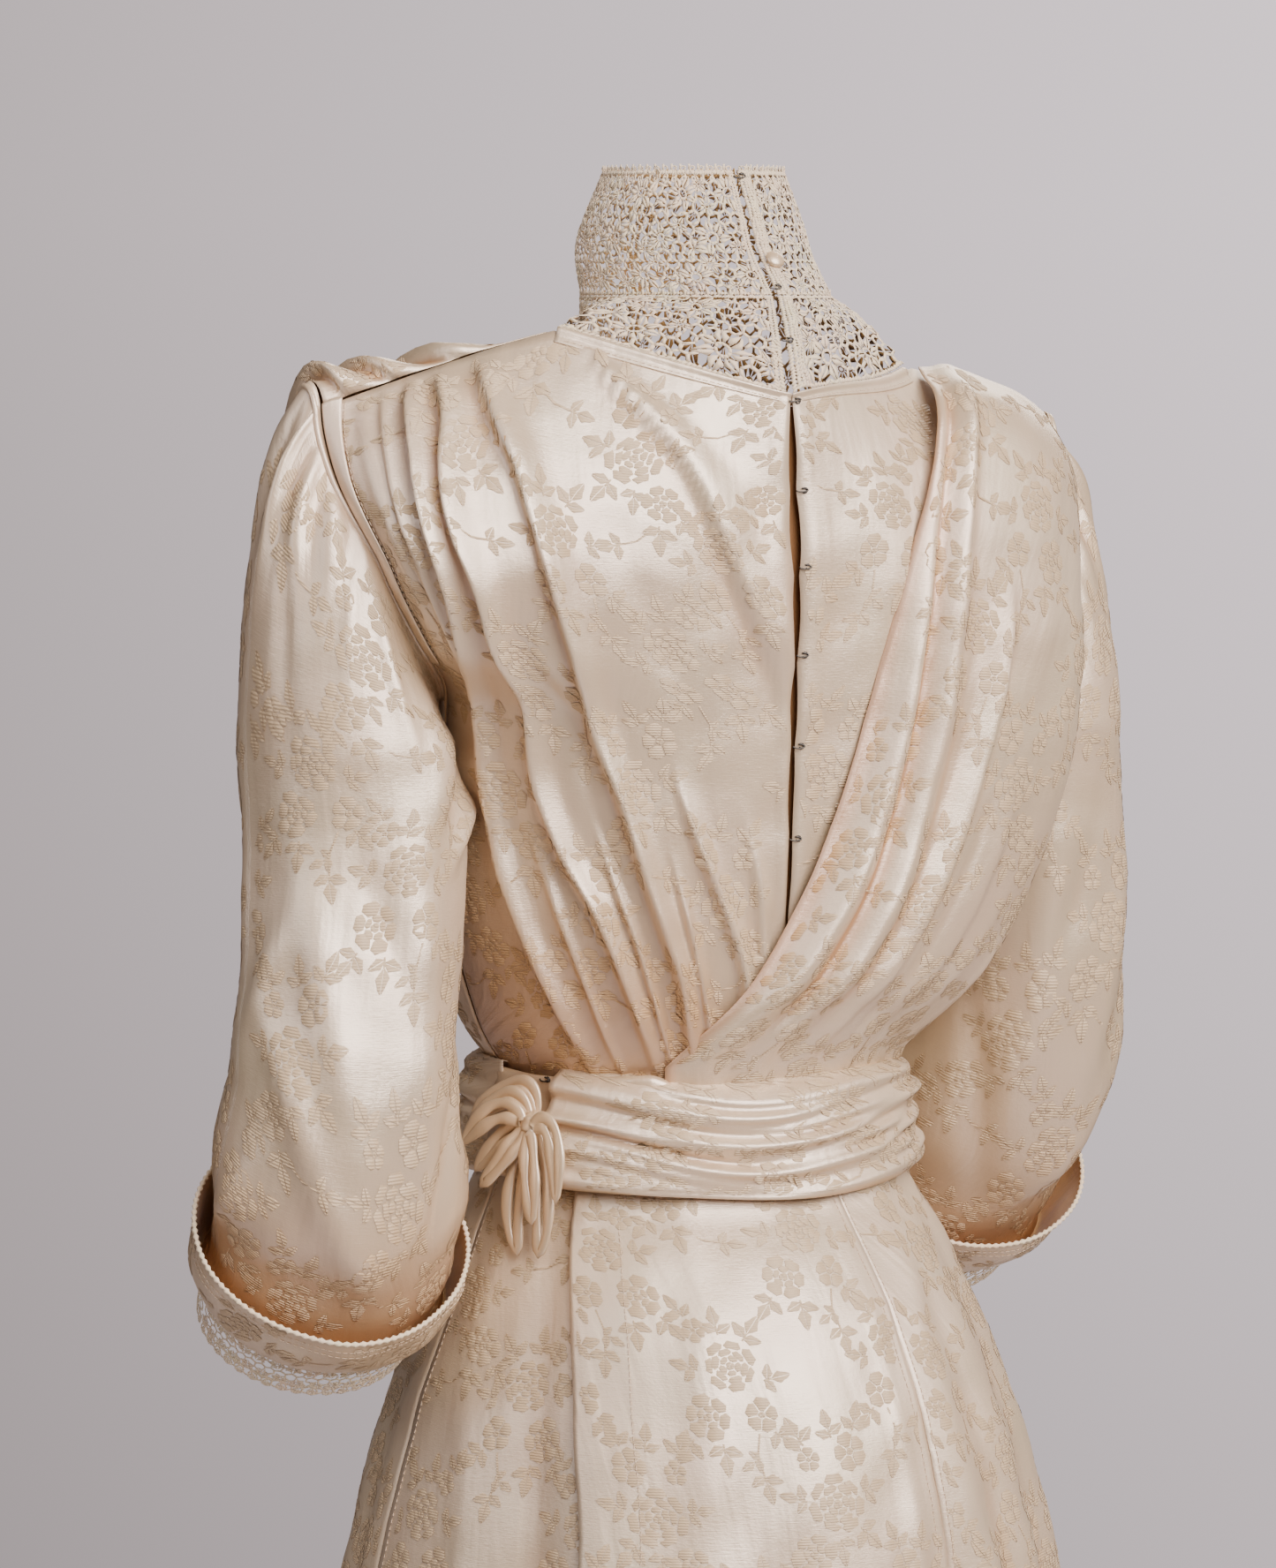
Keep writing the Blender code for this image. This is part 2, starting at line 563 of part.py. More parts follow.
def make_cuff(side, name, satin, lace):
    # The sleeve's end turned up on itself: a rim that stands off, a fold below, and lace inside.
    cols = 22
    row = sleeve_row(1.0, side)
    turn = np.arange(cols) / cols
    rings = []
    for t in (0.0, 0.5, 1.0):
        slide = -CUFF_HEIGHT * (1 - t) + CUFF_FOLD
        grow = CUFF_STEP + CUFF_FLARE * (1 - t) ** 0.8
        rings.append(ring_points(turn, row, side, grow, slide))
    outer = np.array(rings)
    away = unit(outer - outer.mean(axis=1, keepdims=True))
    cloth_wall("cuff_" + name, outer, -away, SATIN, satin, tube=True)
    rings = []
    for slide in (LACE_TOP, 0.0, LACE_REACH):
        grow = END_FLARE - SATIN - SEAM_GAP - LACE_TAPER * abs(slide)
        rings.append(ring_points(turn, row, side, grow, slide))
    outer = np.array(rings)
    away = unit(outer - outer.mean(axis=1, keepdims=True))
    cloth_wall("lace_cuff_" + name, outer, -away, LACE, lace, tube=True)


# Lace collar and yoke

# Rings of the stand collar, from its top to the neck base.
COLLAR_RINGS = [
    {"t": 0.00, "z": COLLAR_TOP, "cy": 0.006, "wide": 0.0460, "deep": 0.043},
    {"t": 0.50, "z": 0.034, "cy": 0.004, "wide": 0.0560, "deep": 0.063},
    {"t": 1.00, "z": COLLAR_BASE, "cy": 0.018, "wide": 0.0590, "deep": 0.073},
]

NECK_TURN = math.radians(62)
LACE_SLIT = 0.0002
YOKE_INSET = 0.0016
BUTTON_RADIUS = 0.0050
BUTTON_FLAT = 0.5
BUTTON_TURN = math.radians(7)
BUTTON_AT = 0.72


def collar_points(turn, t, side):
    at = column(COLLAR_RINGS, "t")

    def read(name):
        return follow(at, column(COLLAR_RINGS, name), t)

    x = np.sin(turn) * read("wide") + LACE_SLIT
    y = read("cy") + np.cos(turn) * read("deep")
    points = np.stack([x * side, y, read("z")], axis=-1)
    centre = np.stack([np.zeros_like(x), read("cy"), read("z")], axis=-1)
    return points, unit(centre - points)


def yoke_points(turn, t, side):
    # From the collar's base out to just inside the neckline.
    start, inward = collar_points(turn, np.ones_like(t), side)
    behind = np.clip(turn / NECK_TURN, 0.0, 1.0) * NECK_SHARE
    before = np.clip((math.pi - turn) / (math.pi - NECK_TURN), 0.0, 1.0) * NECK_SHARE
    back = bodice_points(behind, np.zeros_like(t), BACK_ROWS, side)
    front = bodice_points(before, np.zeros_like(t), FRONT_ROWS, side)
    edge = np.where((turn <= NECK_TURN)[..., None], back, front)
    middle = np.stack([0.0 * t, 0.0 * t + 0.02, edge[..., 2]], axis=-1)
    edge = edge + unit(middle - edge) * YOKE_INSET
    start[..., 2] -= SEAM_GAP
    share = t[..., None]
    points = start * (1 - share) + edge * share
    points[..., 2] += 0.004 * np.sin(math.pi * t)
    down = np.stack([0.0 * t, 0.0 * t, -0.8 * t], axis=-1)
    return points, unit(inward * (1 - 0.35 * share) + down)


def hexagon(centre, radius):
    angles = np.arange(6) * math.pi / 3 + math.pi / 6
    return np.stack([centre[0] + radius * np.cos(angles), centre[1] + radius * np.sin(angles)], axis=1)


def lace_panel(name, place, side, wide, tall, counts, hole, material):
    # A flat strip with half-drop rows of six-sided holes is cut into triangles, then put on the form.
    across, down = counts
    corners = []
    for k in range(across * 2):
        corners.append((wide * k / (across * 2), 0.0))
    for k in range(down * 2):
        corners.append((wide, tall * k / (down * 2)))
    for k in range(across * 2):
        corners.append((wide * (1 - k / (across * 2)), tall))
    for k in range(down * 2):
        corners.append((0.0, tall * (1 - k / (down * 2))))
    flat = list(corners)
    edges = [(k, (k + 1) % len(corners)) for k in range(len(corners))]
    holes = []
    for j in range(down):
        for i in range(across):
            shift = 0.25 if j % 2 else -0.25
            centre = (wide * (i + 0.5 + shift) / across, tall * (j + 0.5) / down)
            size = hole * (1.0 + 0.12 * math.sin(3.1 * i + 1.7 * j))
            ring = hexagon(centre, size)
            begin = len(flat)
            flat.extend(tuple(p) for p in ring)
            edges.extend((begin + k, begin + (k + 1) % 6) for k in range(6))
            holes.append((centre, size))
    result = delaunay_2d_cdt([Vector(p) for p in flat], edges, [], 0, 1e-7)
    points = np.array([tuple(p) for p in result[0]])
    triangles = [tuple(face) for face in result[2]]
    kept = []
    for face in triangles:
        middle = points[list(face)].mean(axis=0)
        if all(math.dist(middle, centre) > size * 0.84 for centre, size in holes):
            kept.append(face)
    turn = points[:, 0] / wide * math.pi
    outer, inward = place(turn, points[:, 1] / tall, side)
    inner = outer + inward * LACE
    count = len(points)
    faces = []
    used = set()
    for face in kept:
        faces.append(face)
        faces.append(tuple(count + k for k in reversed(face)))
        for k in range(3):
            used.add((face[k], face[(k + 1) % 3]))
    for a, b in sorted(used):
        if (b, a) not in used:
            faces.append((b, a, count + a, count + b))
    add_body(name, np.concatenate([outer, inner]), faces, material)


def make_lace(lace):
    for side, name in ((1, "left"), (-1, "right")):
        lace_panel("collar_lace_" + name, collar_points, side, 0.176, 0.062, (8, 4), 0.0038, lace)
        lace_panel("yoke_lace_" + name, yoke_points, side, 0.190, 0.044, (8, 2), 0.0044, lace)


def make_button(satin):
    # A flattened ball that lies on the right half of the collar, beside the slit.
    turn = np.array([BUTTON_TURN, BUTTON_TURN + 0.02, BUTTON_TURN])
    t = np.array([BUTTON_AT, BUTTON_AT, BUTTON_AT + 0.02])
    spots = collar_points(turn, t, -1)[0]
    across = unit(spots[1] - spots[0])
    down = unit(spots[2] - spots[0])
    out = unit(np.cross(down, across))
    out = out if out[1] > 0 else -out
    centre = spots[0] + out * (BUTTON_RADIUS * BUTTON_FLAT + SEAM_GAP)
    shape = bmesh.new()
    bmesh.ops.create_uvsphere(shape, u_segments=12, v_segments=6, radius=BUTTON_RADIUS)
    points = []
    for vert in shape.verts:
        points.append(tuple(centre + vert.co.x * across + vert.co.y * down + vert.co.z * BUTTON_FLAT * out))
    faces = [tuple(vert.index for vert in face.verts) for face in shape.faces]
    shape.free()
    add_body("collar_button", points, faces, satin)


# Sash, inner waistband and bow

SASH_END = 62
SASH_STAND = 0.0106
SASH_FLARE = 0.0100
BAND_STAND = 0.0089


def waist_points(angle, z, grow):
    # angle 0 is the centre back and turns towards the wearer's left.
    depth = np.where(np.cos(angle) > 0, WAIST_BACK, WAIST_FRONT) + grow
    x = np.sin(angle) * (WAIST_WIDE + grow)
    y = np.cos(angle) * depth
    return np.stack([x, y, z], axis=-1)


SASH_FOLDS = [
    {"t": 0.10, "high": 0.0062},
    {"t": 0.36, "high": 0.0080},
    {"t": 0.62, "high": 0.0070},
    {"t": 0.88, "high": 0.0078},
]


def sash_profile(t, angle):
    # Soft rolls that run round the waist and wander a little up and down.
    wander = 0.05 * np.sin(angle * 2.0 + 0.6)
    height = np.zeros_like(t)
    for fold in SASH_FOLDS:
        height += fold["high"] * np.exp(-((t - fold["t"] - wander) / 0.105) ** 2)
    return height


def make_sash(satin):
    # From its folded end beside the bow it runs to the right, round the front and back to the left.
    turn, t = np.meshgrid(np.linspace(math.radians(SASH_END), math.radians(SASH_END - 338), 38),
                          np.linspace(0.0, 1.0, 8))
    top = BELT_TOP + 0.004 * np.sin(turn + 0.4)
    low = BELT_BOTTOM + 0.003 * np.sin(turn + 1.2)
    z = top + (low - top) * t
    grow = SASH_STAND + sash_profile(t, turn) + SASH_FLARE * t
    outer = waist_points(turn, z, grow)
    away = unit(np.stack([outer[..., 0], outer[..., 1], np.zeros_like(z)], axis=-1))
    cloth_wall("sash", outer, -away, SATIN, satin)


def make_waistband(satin):
    angle, t = np.meshgrid(np.radians(np.linspace(6, 82, 12)), np.linspace(0.0, 1.0, 4))
    top = WAIST + 0.009 + 0.002 * np.sin(angle * 4)
    z = top + (BELT_BOTTOM + 0.004 - top) * t
    outer = waist_points(angle, z, BAND_STAND + SASH_FLARE * t)
    away = unit(np.stack([outer[..., 0], outer[..., 1], np.zeros_like(z)], axis=-1))
    cloth_wall("waistband_left", outer, -away, SATIN, satin)


# Loops of the bow in a frame on the sash: across to the wearer's right, up, and out from the sash.
BOW_TURN = 64
BOW_Z = -0.398
BOW_STAND = 0.0184
BOW_LEAN = 0.16
KNOT_RADIUS = 0.0055
KNOT_LIFT = 0.0068
LOOP_GAP = 0.0006
LOOP_THICK = 0.0018

BOW_LOOPS = [
    {"name": "upper_1", "mid": (-0.012, 0.0165), "tip": (-0.040, 0.002), "out": 0.0024, "wide": 0.0044},
    {"name": "upper_2", "mid": (-0.016, 0.0110), "tip": (-0.038, -0.004), "out": 0.0066, "wide": 0.0044},
    {"name": "upper_3", "mid": (-0.020, 0.0040), "tip": (-0.039, -0.013), "out": 0.0108, "wide": 0.0055},
    {"name": "lower_1", "mid": (-0.017, -0.0085), "tip": (-0.033, -0.026), "out": 0.0050, "wide": 0.0050},
    {"name": "lower_2", "mid": (-0.011, -0.0150), "tip": (-0.025, -0.032), "out": 0.0094, "wide": 0.0045},
    {"name": "hanging_1", "mid": (-0.0085, -0.036), "tip": (-0.004, -0.064), "out": 0.0040, "wide": 0.0060},
    {"name": "hanging_2", "mid": (0.0045, -0.024), "tip": (0.008, -0.047), "out": 0.0102, "wide": 0.0050},
    {"name": "hanging_3", "mid": (0.0110, -0.038), "tip": (0.011, -0.063), "out": 0.0062, "wide": 0.0058},
    {"name": "right", "mid": (0.0165, -0.004), "tip": (0.022, -0.036), "out": 0.0110, "wide": 0.0048},
]


def bow_frame():
    turn = math.radians(BOW_TURN)
    knot = waist_points(np.array(turn), np.array(BOW_Z), BOW_STAND)
    out = np.array([math.sin(turn), math.cos(turn), 0.0])
    across = np.array([-math.cos(turn), math.sin(turn), 0.0])
    up = unit(np.array([0.0, 0.0, 1.0]) - BOW_LEAN * out)
    return knot, across, up, out


def make_bow(satin):
    knot, across, up, out = bow_frame()
    sides = 6
    around = np.arange(sides) * 2 * math.pi / sides
    for loop in BOW_LOOPS:
        mid = np.array(loop["mid"])
        tip = np.array(loop["tip"])
        level = max(0.0, abs(loop["out"] - KNOT_LIFT) - 0.8 * LOOP_THICK)
        start = mid / np.linalg.norm(mid) * math.sqrt((KNOT_RADIUS + LOOP_GAP) ** 2 - level ** 2)
        bend = 2 * mid - (start + tip) / 2
        rings = []
        for t in np.linspace(0.0, 1.0, 8):
            centre = start * (1 - t)**2 + bend * 2 * t * (1 - t) + tip * t**2
            heading = (bend - start) * (1 - t) + (tip - bend) * t
            heading = heading / np.linalg.norm(heading)
            cross = np.array([-heading[1], heading[0]])
            share = math.sin(math.pi * (0.04 + 0.90 * t)) ** 0.6
            flat = centre + np.outer(np.cos(around) * loop["wide"] * share, cross)
            lift = loop["out"] + np.sin(around) * LOOP_THICK * (0.75 + 0.25 * share)
            rings.append(knot + flat[:, :1] * across + flat[:, 1:] * up + lift[:, None] * out)
        grid = np.array(rings)
        count = grid.shape[0]
        faces = [tuple(range(sides)), tuple(reversed(range((count - 1) * sides, count * sides)))]
        for i in range(count - 1):
            for j in range(sides):
                after = (j + 1) % sides
                faces.append((i * sides + j, (i + 1) * sides + j, (i + 1) * sides + after, i * sides + after))
        add_body("bow_loop_" + loop["name"], grid.reshape(-1, 3), faces, satin)
    shape = bmesh.new()
    bmesh.ops.create_uvsphere(shape, u_segments=12, v_segments=8, radius=KNOT_RADIUS)
    points = []
    for vert in shape.verts:
        points.append(tuple(knot + vert.co.x * across + vert.co.y * up + (vert.co.z + KNOT_LIFT) * out))
    faces = [tuple(vert.index for vert in face.verts) for face in shape.faces]
    shape.free()
    add_body("bow_knot", points, faces, satin)


# The skirt

SKIRT_ROWS = [
    {"z": SKIRT_TOP, "wide": 0.0985, "back": 0.0875, "front": 0.0855},
    {"z": -0.436, "wide": 0.112, "back": 0.102, "front": 0.092},
    {"z": -0.460, "wide": 0.124, "back": 0.124, "front": 0.098},
    {"z": -0.500, "wide": 0.140, "back": 0.152, "front": 0.104},
    {"z": -0.560, "wide": 0.162, "back": 0.175, "front": 0.114},
    {"z": -0.640, "wide": 0.182, "back": 0.192, "front": 0.126},
    {"z": -0.800, "wide": 0.206, "back": 0.213, "front": 0.150},
    {"z": -1.050, "wide": 0.242, "back": 0.247, "front": 0.190},
    {"z": HEM, "wide": 0.300, "back": 0.304, "front": 0.248},
]

SKIRT_FOLDS = [
    {"angle": -62, "low": 0.030, "wide": 8},
    {"angle": -30, "low": 0.014, "wide": 9},
    {"angle": 6, "low": 0.018, "wide": 9},
    {"angle": 42, "low": 0.024, "wide": 8},
    {"angle": 78, "low": 0.020, "wide": 8},
    {"angle": 112, "low": 0.026, "wide": 9},
    {"angle": 150, "low": 0.018, "wide": 10},
    {"angle": 196, "low": 0.020, "wide": 10},
    {"angle": 236, "low": 0.026, "wide": 9},
    {"angle": 270, "low": 0.020, "wide": 8},
]


def skirt_points(angle, z, grow):
    at = -column(SKIRT_ROWS, "z")
    wide = follow(at, column(SKIRT_ROWS, "wide"), -z)
    back = follow(at, column(SKIRT_ROWS, "back"), -z)
    front = follow(at, column(SKIRT_ROWS, "front"), -z)
    fall = np.clip((SKIRT_ROWS[0]["z"] - z) / (SKIRT_ROWS[0]["z"] - HEM), 0.0, 1.0) ** 1.2
    ripple = np.zeros_like(z)
    for fold in SKIRT_FOLDS:
        gap = (np.degrees(angle) - fold["angle"] + 180) % 360 - 180
        ripple += fold["low"] * fall * np.exp(-(gap / fold["wide"]) ** 2)
    x = np.sin(angle) * (wide + grow + ripple)
    y = np.cos(angle) * (np.where(np.cos(angle) > 0, back, front) + grow + ripple)
    return np.stack([x, y, z], axis=-1)


GORES = [
    {"name": "skirt_back", "from": -15.3, "to": 54.0, "grow": 0.0026, "cols": 16},
    {"name": "skirt_side_left", "from": 49.0, "to": 85.8, "grow": 0.0, "cols": 8},
    {"name": "skirt_front", "from": 86.1, "to": 273.9, "grow": 0.0, "cols": 26},
    {"name": "skirt_side_right", "from": 274.2, "to": 344.4, "grow": 0.0026, "cols": 14},
]


def make_skirt(satin):
    levels = np.array([SKIRT_TOP, -0.434, -0.462, -0.505, -0.565, -0.650, -0.800, -1.040, HEM])
    for gore in GORES:
        angles = np.radians(np.linspace(gore["from"], gore["to"], gore["cols"]))
        angle, z = np.meshgrid(angles, levels)
        grow = np.full_like(z, gore["grow"])
        if gore["name"] == "skirt_side_right":
            join = (angle - angle.min()) / (angle.max() - angle.min())
            grow = gore["grow"] * join
        outer = skirt_points(angle, z, grow)
        away = unit(np.stack([np.sin(angle), np.cos(angle), np.zeros_like(z)], axis=-1))
        cloth_wall(gore["name"], outer, -away, SATIN, satin)


def main():
    clear_scene()
    satin = cloth_material("ivory_silk_satin", IVORY, 0.38)
    lace = cloth_material("cream_crochet_lace", CREAM, 0.85)
    make_bodice(satin)
    make_drape(satin)
    make_bindings(satin)
    make_armhole_band(satin)
    make_lace(lace)
    make_button(satin)
    for side, name in ((1, "left"), (-1, "right")):
        make_sleeve(side, name, satin)
        make_cuff(side, name, satin, lace)
    make_sash(satin)
    make_waistband(satin)
    make_bow(satin)
    make_skirt(satin)


main()
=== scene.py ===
import math
import bpy
import numpy as np
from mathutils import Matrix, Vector


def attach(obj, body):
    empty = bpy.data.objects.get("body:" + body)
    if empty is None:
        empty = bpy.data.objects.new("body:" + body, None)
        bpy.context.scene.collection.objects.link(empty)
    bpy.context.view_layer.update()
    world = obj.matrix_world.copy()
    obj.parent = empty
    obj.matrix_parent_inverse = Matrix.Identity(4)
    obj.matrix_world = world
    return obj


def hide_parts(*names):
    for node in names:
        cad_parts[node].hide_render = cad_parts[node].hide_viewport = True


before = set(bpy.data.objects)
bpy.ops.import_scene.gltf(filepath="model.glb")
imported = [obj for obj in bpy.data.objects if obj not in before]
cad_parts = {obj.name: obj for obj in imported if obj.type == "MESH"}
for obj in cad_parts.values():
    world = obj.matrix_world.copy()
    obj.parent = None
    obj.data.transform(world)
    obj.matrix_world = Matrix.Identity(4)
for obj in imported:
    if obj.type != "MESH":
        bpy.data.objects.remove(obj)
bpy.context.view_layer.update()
print("frame loaded", len(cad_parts), "nodes")

# Tea gown in its worn shape. The wearer faces -Y and the wearer's left is +X.
pi = math.pi


def follow(at, values, where):
    # Smooth curve through a table: cubic pieces whose slopes never overshoot.
    at = np.asarray(at, dtype=float)
    values = np.asarray(values, dtype=float)
    where = np.clip(np.asarray(where, dtype=float), at[0], at[-1])
    step = np.diff(at)
    slope = np.diff(values) / step
    tangent = np.zeros(len(at))
    sameWay = slope[1:] * slope[:-1] > 0
    inner = np.zeros(len(at) - 2)
    inner[sameWay] = 2 * slope[1:][sameWay] * slope[:-1][sameWay] / (slope[1:] + slope[:-1])[sameWay]
    tangent[1:-1] = inner
    tangent[0] = slope[0]
    tangent[-1] = slope[-1]
    cell = np.clip(np.searchsorted(at, where, side="right") - 1, 0, len(at) - 2)
    t = (where - at[cell]) / step[cell]
    h = step[cell]
    return ((2 * t**3 - 3 * t**2 + 1) * values[cell] + (t**3 - 2 * t**2 + t) * h * tangent[cell]
            + (-2 * t**3 + 3 * t**2) * values[cell + 1] + (t**3 - t**2) * h * tangent[cell + 1])


def table(names, *rows):
    # One record for each row, under the column names.
    return [dict(zip(names.split(), row)) for row in rows]


def column(rows, name):
    # One column of a table as an array.
    return np.array([row[name] for row in rows], dtype=float)


def reader(at, rows, where):
    # Reads any column of a table smoothly: its rows stand at "at", and "where" holds the places asked for.
    return lambda name: follow(at, column(rows, name), where)


def unit(vectors):
    # Each vector divided by its length.
    return vectors / np.maximum(np.linalg.norm(vectors, axis=-1, keepdims=True), 1e-12)


def power(value, exponent):
    # The power of the size, with the sign kept.
    return np.sign(value) * np.abs(value) ** exponent


def softStep(value):
    # From 0 to 1 with level ends: 3 v^2 - 2 v^3.
    value = np.clip(value, 0.0, 1.0)
    return value * value * (3 - 2 * value)


def gridNormals(points, tube=False):
    # Cross product of the differences between neighbours across and down.
    if tube:
        across = np.roll(points, -1, axis=1) - np.roll(points, 1, axis=1)
    else:
        across = np.gradient(points, axis=1)
    return unit(np.cross(across, np.gradient(points, axis=0)))


def sideways(points):
    # Level direction away from the middle of the body.
    return unit(points * np.array([1.0, 1.0, 0.0]))


def closeRing(grid):
    # Repeats the first column at the end.
    return np.concatenate([grid, grid[:, :1]], axis=1)


def runLengths(sizes):
    # Where each run of points starts in one long list.
    return np.concatenate([[0], np.cumsum(sizes)[:-1]])


def flatPlan(points, middle=0):
    # Flat cloth coordinates: length along each row from one column, and mean length down the columns.
    across = np.linalg.norm(np.diff(points, axis=1), axis=2)
    across = np.concatenate([np.zeros((len(points), 1)), np.cumsum(across, axis=1)], axis=1)
    down = np.linalg.norm(np.diff(points, axis=0), axis=2).mean(axis=1)
    return across - across[:, middle:middle + 1], np.concatenate([[0.0], np.cumsum(down)])


def makeMesh(name, points, faces, material, uv=None, values=None):
    # One object at the origin, with flat cloth coordinates as its UV map and values on its points.
    mesh = bpy.data.meshes.new(name)
    mesh.from_pydata(np.asarray(points).reshape(-1, 3).tolist(), [], faces)
    mesh.materials.append(material)
    if uv is not None:
        layer = mesh.uv_layers.new(name="cloth")
        corners = np.zeros(len(mesh.loops), dtype=np.int32)
        mesh.loops.foreach_get("vertex_index", corners)
        layer.data.foreach_set("uv", np.asarray(uv, dtype=np.float32)[corners].ravel())
    for label, data in (values or {}).items():
        attribute = mesh.attributes.new(label, "FLOAT", "POINT")
        attribute.data.foreach_set("value", np.asarray(data, dtype=np.float32).ravel())
    mesh.shade_smooth()
    piece = bpy.data.objects.new(name, mesh)
    bpy.context.scene.collection.objects.link(piece)
    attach(piece, "root")
    return piece


def gridFaces(rows, cols, tube=False, flip=False):
    # Four-sided faces between neighbouring rows and columns; a tube joins its last column to its first.
    i, j = np.meshgrid(np.arange(rows - 1), np.arange(cols if tube else cols - 1), indexing="ij")
    after = (j + 1) % cols
    quads = np.stack([i * cols + j, i * cols + after, (i + 1) * cols + after, (i + 1) * cols + j], axis=-1)
    quads = quads.reshape(-1, 4)
    return (quads[:, ::-1] if flip else quads).tolist()


def ballGrid(rows, cols, pole, flip=False):
    # Angles round and down a ball, and its faces, with one face over each pole.
    turn, tilt = np.meshgrid(np.arange(cols) * 2 * pi / cols, np.linspace(pole, pi - pole, rows))
    last = (rows - 1) * cols
    caps = [list(range(cols)), [last + k for k in reversed(range(cols))]]
    return turn, tilt, gridFaces(rows, cols, True, flip) + caps


def trimPiece(name, points, faces, material, node=None, uv=None):
    # A closed piece that is no sheet, such as a loop, piping, a stitch or a hook.
    piece = makeMesh(name, points, faces, material, uv)
    if node:
        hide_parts(node)


def thicken(piece, thick):
    # Thickness goes to the inner side, in the piece's last material.
    shell = piece.modifiers.new("thickness", "SOLIDIFY")
    shell.thickness = thick
    shell.offset = -1.0
    shell.material_offset = len(piece.data.materials) - 1


clothThick = 0.0006
laceThick = 0.0003


def clothPiece(name, points, away, material, held, rests, tube=False, shade=None, solid=True):
    # A thin shell: the outer surface as a grid, with its thickness put on the inner side.
    normals = gridNormals(points, tube)
    flip = (normals * away).sum(axis=-1).mean() < 0
    normals = -normals if flip else normals
    across, down = flatPlan(points)
    uv = np.stack([across, np.repeat(down[:, None], points.shape[1], axis=1)], axis=-1).reshape(-1, 2)
    shade = np.zeros(points.shape[:2]) if shade is None else shade
    faces = gridFaces(points.shape[0], points.shape[1], tube, flip)
    pieceName = name + "_cloth" if solid else name
    piece = makeMesh(pieceName, points, faces, material, uv, {"paintedShade": shade})
    if material is satin:
        piece.data.materials.append(shadedReverse)
    thicken(piece, clothThick)
    if solid:
        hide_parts(name)
    closed = closeRing(points) if tube else points
    full = np.linalg.norm(np.diff(closed, axis=1), axis=2).sum(axis=1)
    drops = np.linalg.norm(np.diff(points, axis=0), axis=2)
    cut = (float(full.max()), float(drops.sum(axis=0).max()))
    area = float((drops.mean(axis=1) * (full[1:] + full[:-1]) / 2).sum())
    area = min(max(area, 0.301 * cut[0] * cut[1]), cut[0] * cut[1])
    print("cloth", pieceName, "flat", round(cut[0], 3), round(cut[1], 3), "area", round(area, 4))
    return {"piece": piece, "points": points, "normals": normals, "shade": shade,
            "cut": cut, "area": area, "held": held, "rests": rests}


def hexColour(code):
    # sRGB hex to linear: the lower part is divided by 12.92, the upper part raised to 2.4.
    values = []
    for k in (0, 2, 4):
        c = int(code[k:k + 2], 16) / 255
        values.append(c / 12.92 if c <= 0.04045 else ((c + 0.055) / 1.055) ** 2.4)
    return (*values, 1.0)


def addNode(tree, kind, settings=None, values=None, links=None):
    # One node with its settings, its socket values and the sockets that feed it.
    node = tree.nodes.new(kind)
    for name, value in (settings or {}).items():
        setattr(node, name, value)
    for name, value in (values or {}).items():
        node.inputs[name].default_value = value
    for name, source in (links or {}).items():
        tree.links.new(source, node.inputs[name])
    return node


def makeMaterial(name, code, roughness, sockets):
    # A principled material with one colour and plain sockets.
    material = bpy.data.materials.new(name)
    material.use_nodes = True
    tree = material.node_tree
    shader = tree.nodes["Principled BSDF"]
    shader.inputs["Base Color"].default_value = hexColour(code)
    shader.inputs["Roughness"].default_value = roughness
    for socket, value in sockets.items():
        shader.inputs[socket].default_value = value
    return material, tree, shader


def silkMaterial(name, code, roughness, sockets):
    # What every silk starts from: flat cloth coordinates, threads that run along them, and the folds' shade.
    material, tree, shader = makeMaterial(name, code, roughness, sockets)
    cloth = addNode(tree, "ShaderNodeUVMap", {"uv_map": "cloth"})
    warp = addNode(tree, "ShaderNodeTangent", {"direction_type": "UV_MAP", "uv_map": "cloth"})
    tree.links.new(warp.outputs["Tangent"], shader.inputs["Tangent"])
    paintedShade = addNode(tree, "ShaderNodeAttribute", {"attribute_name": "paintedShade"})
    return material, tree, shader, cloth.outputs["UV"], paintedShade.outputs["Fac"]


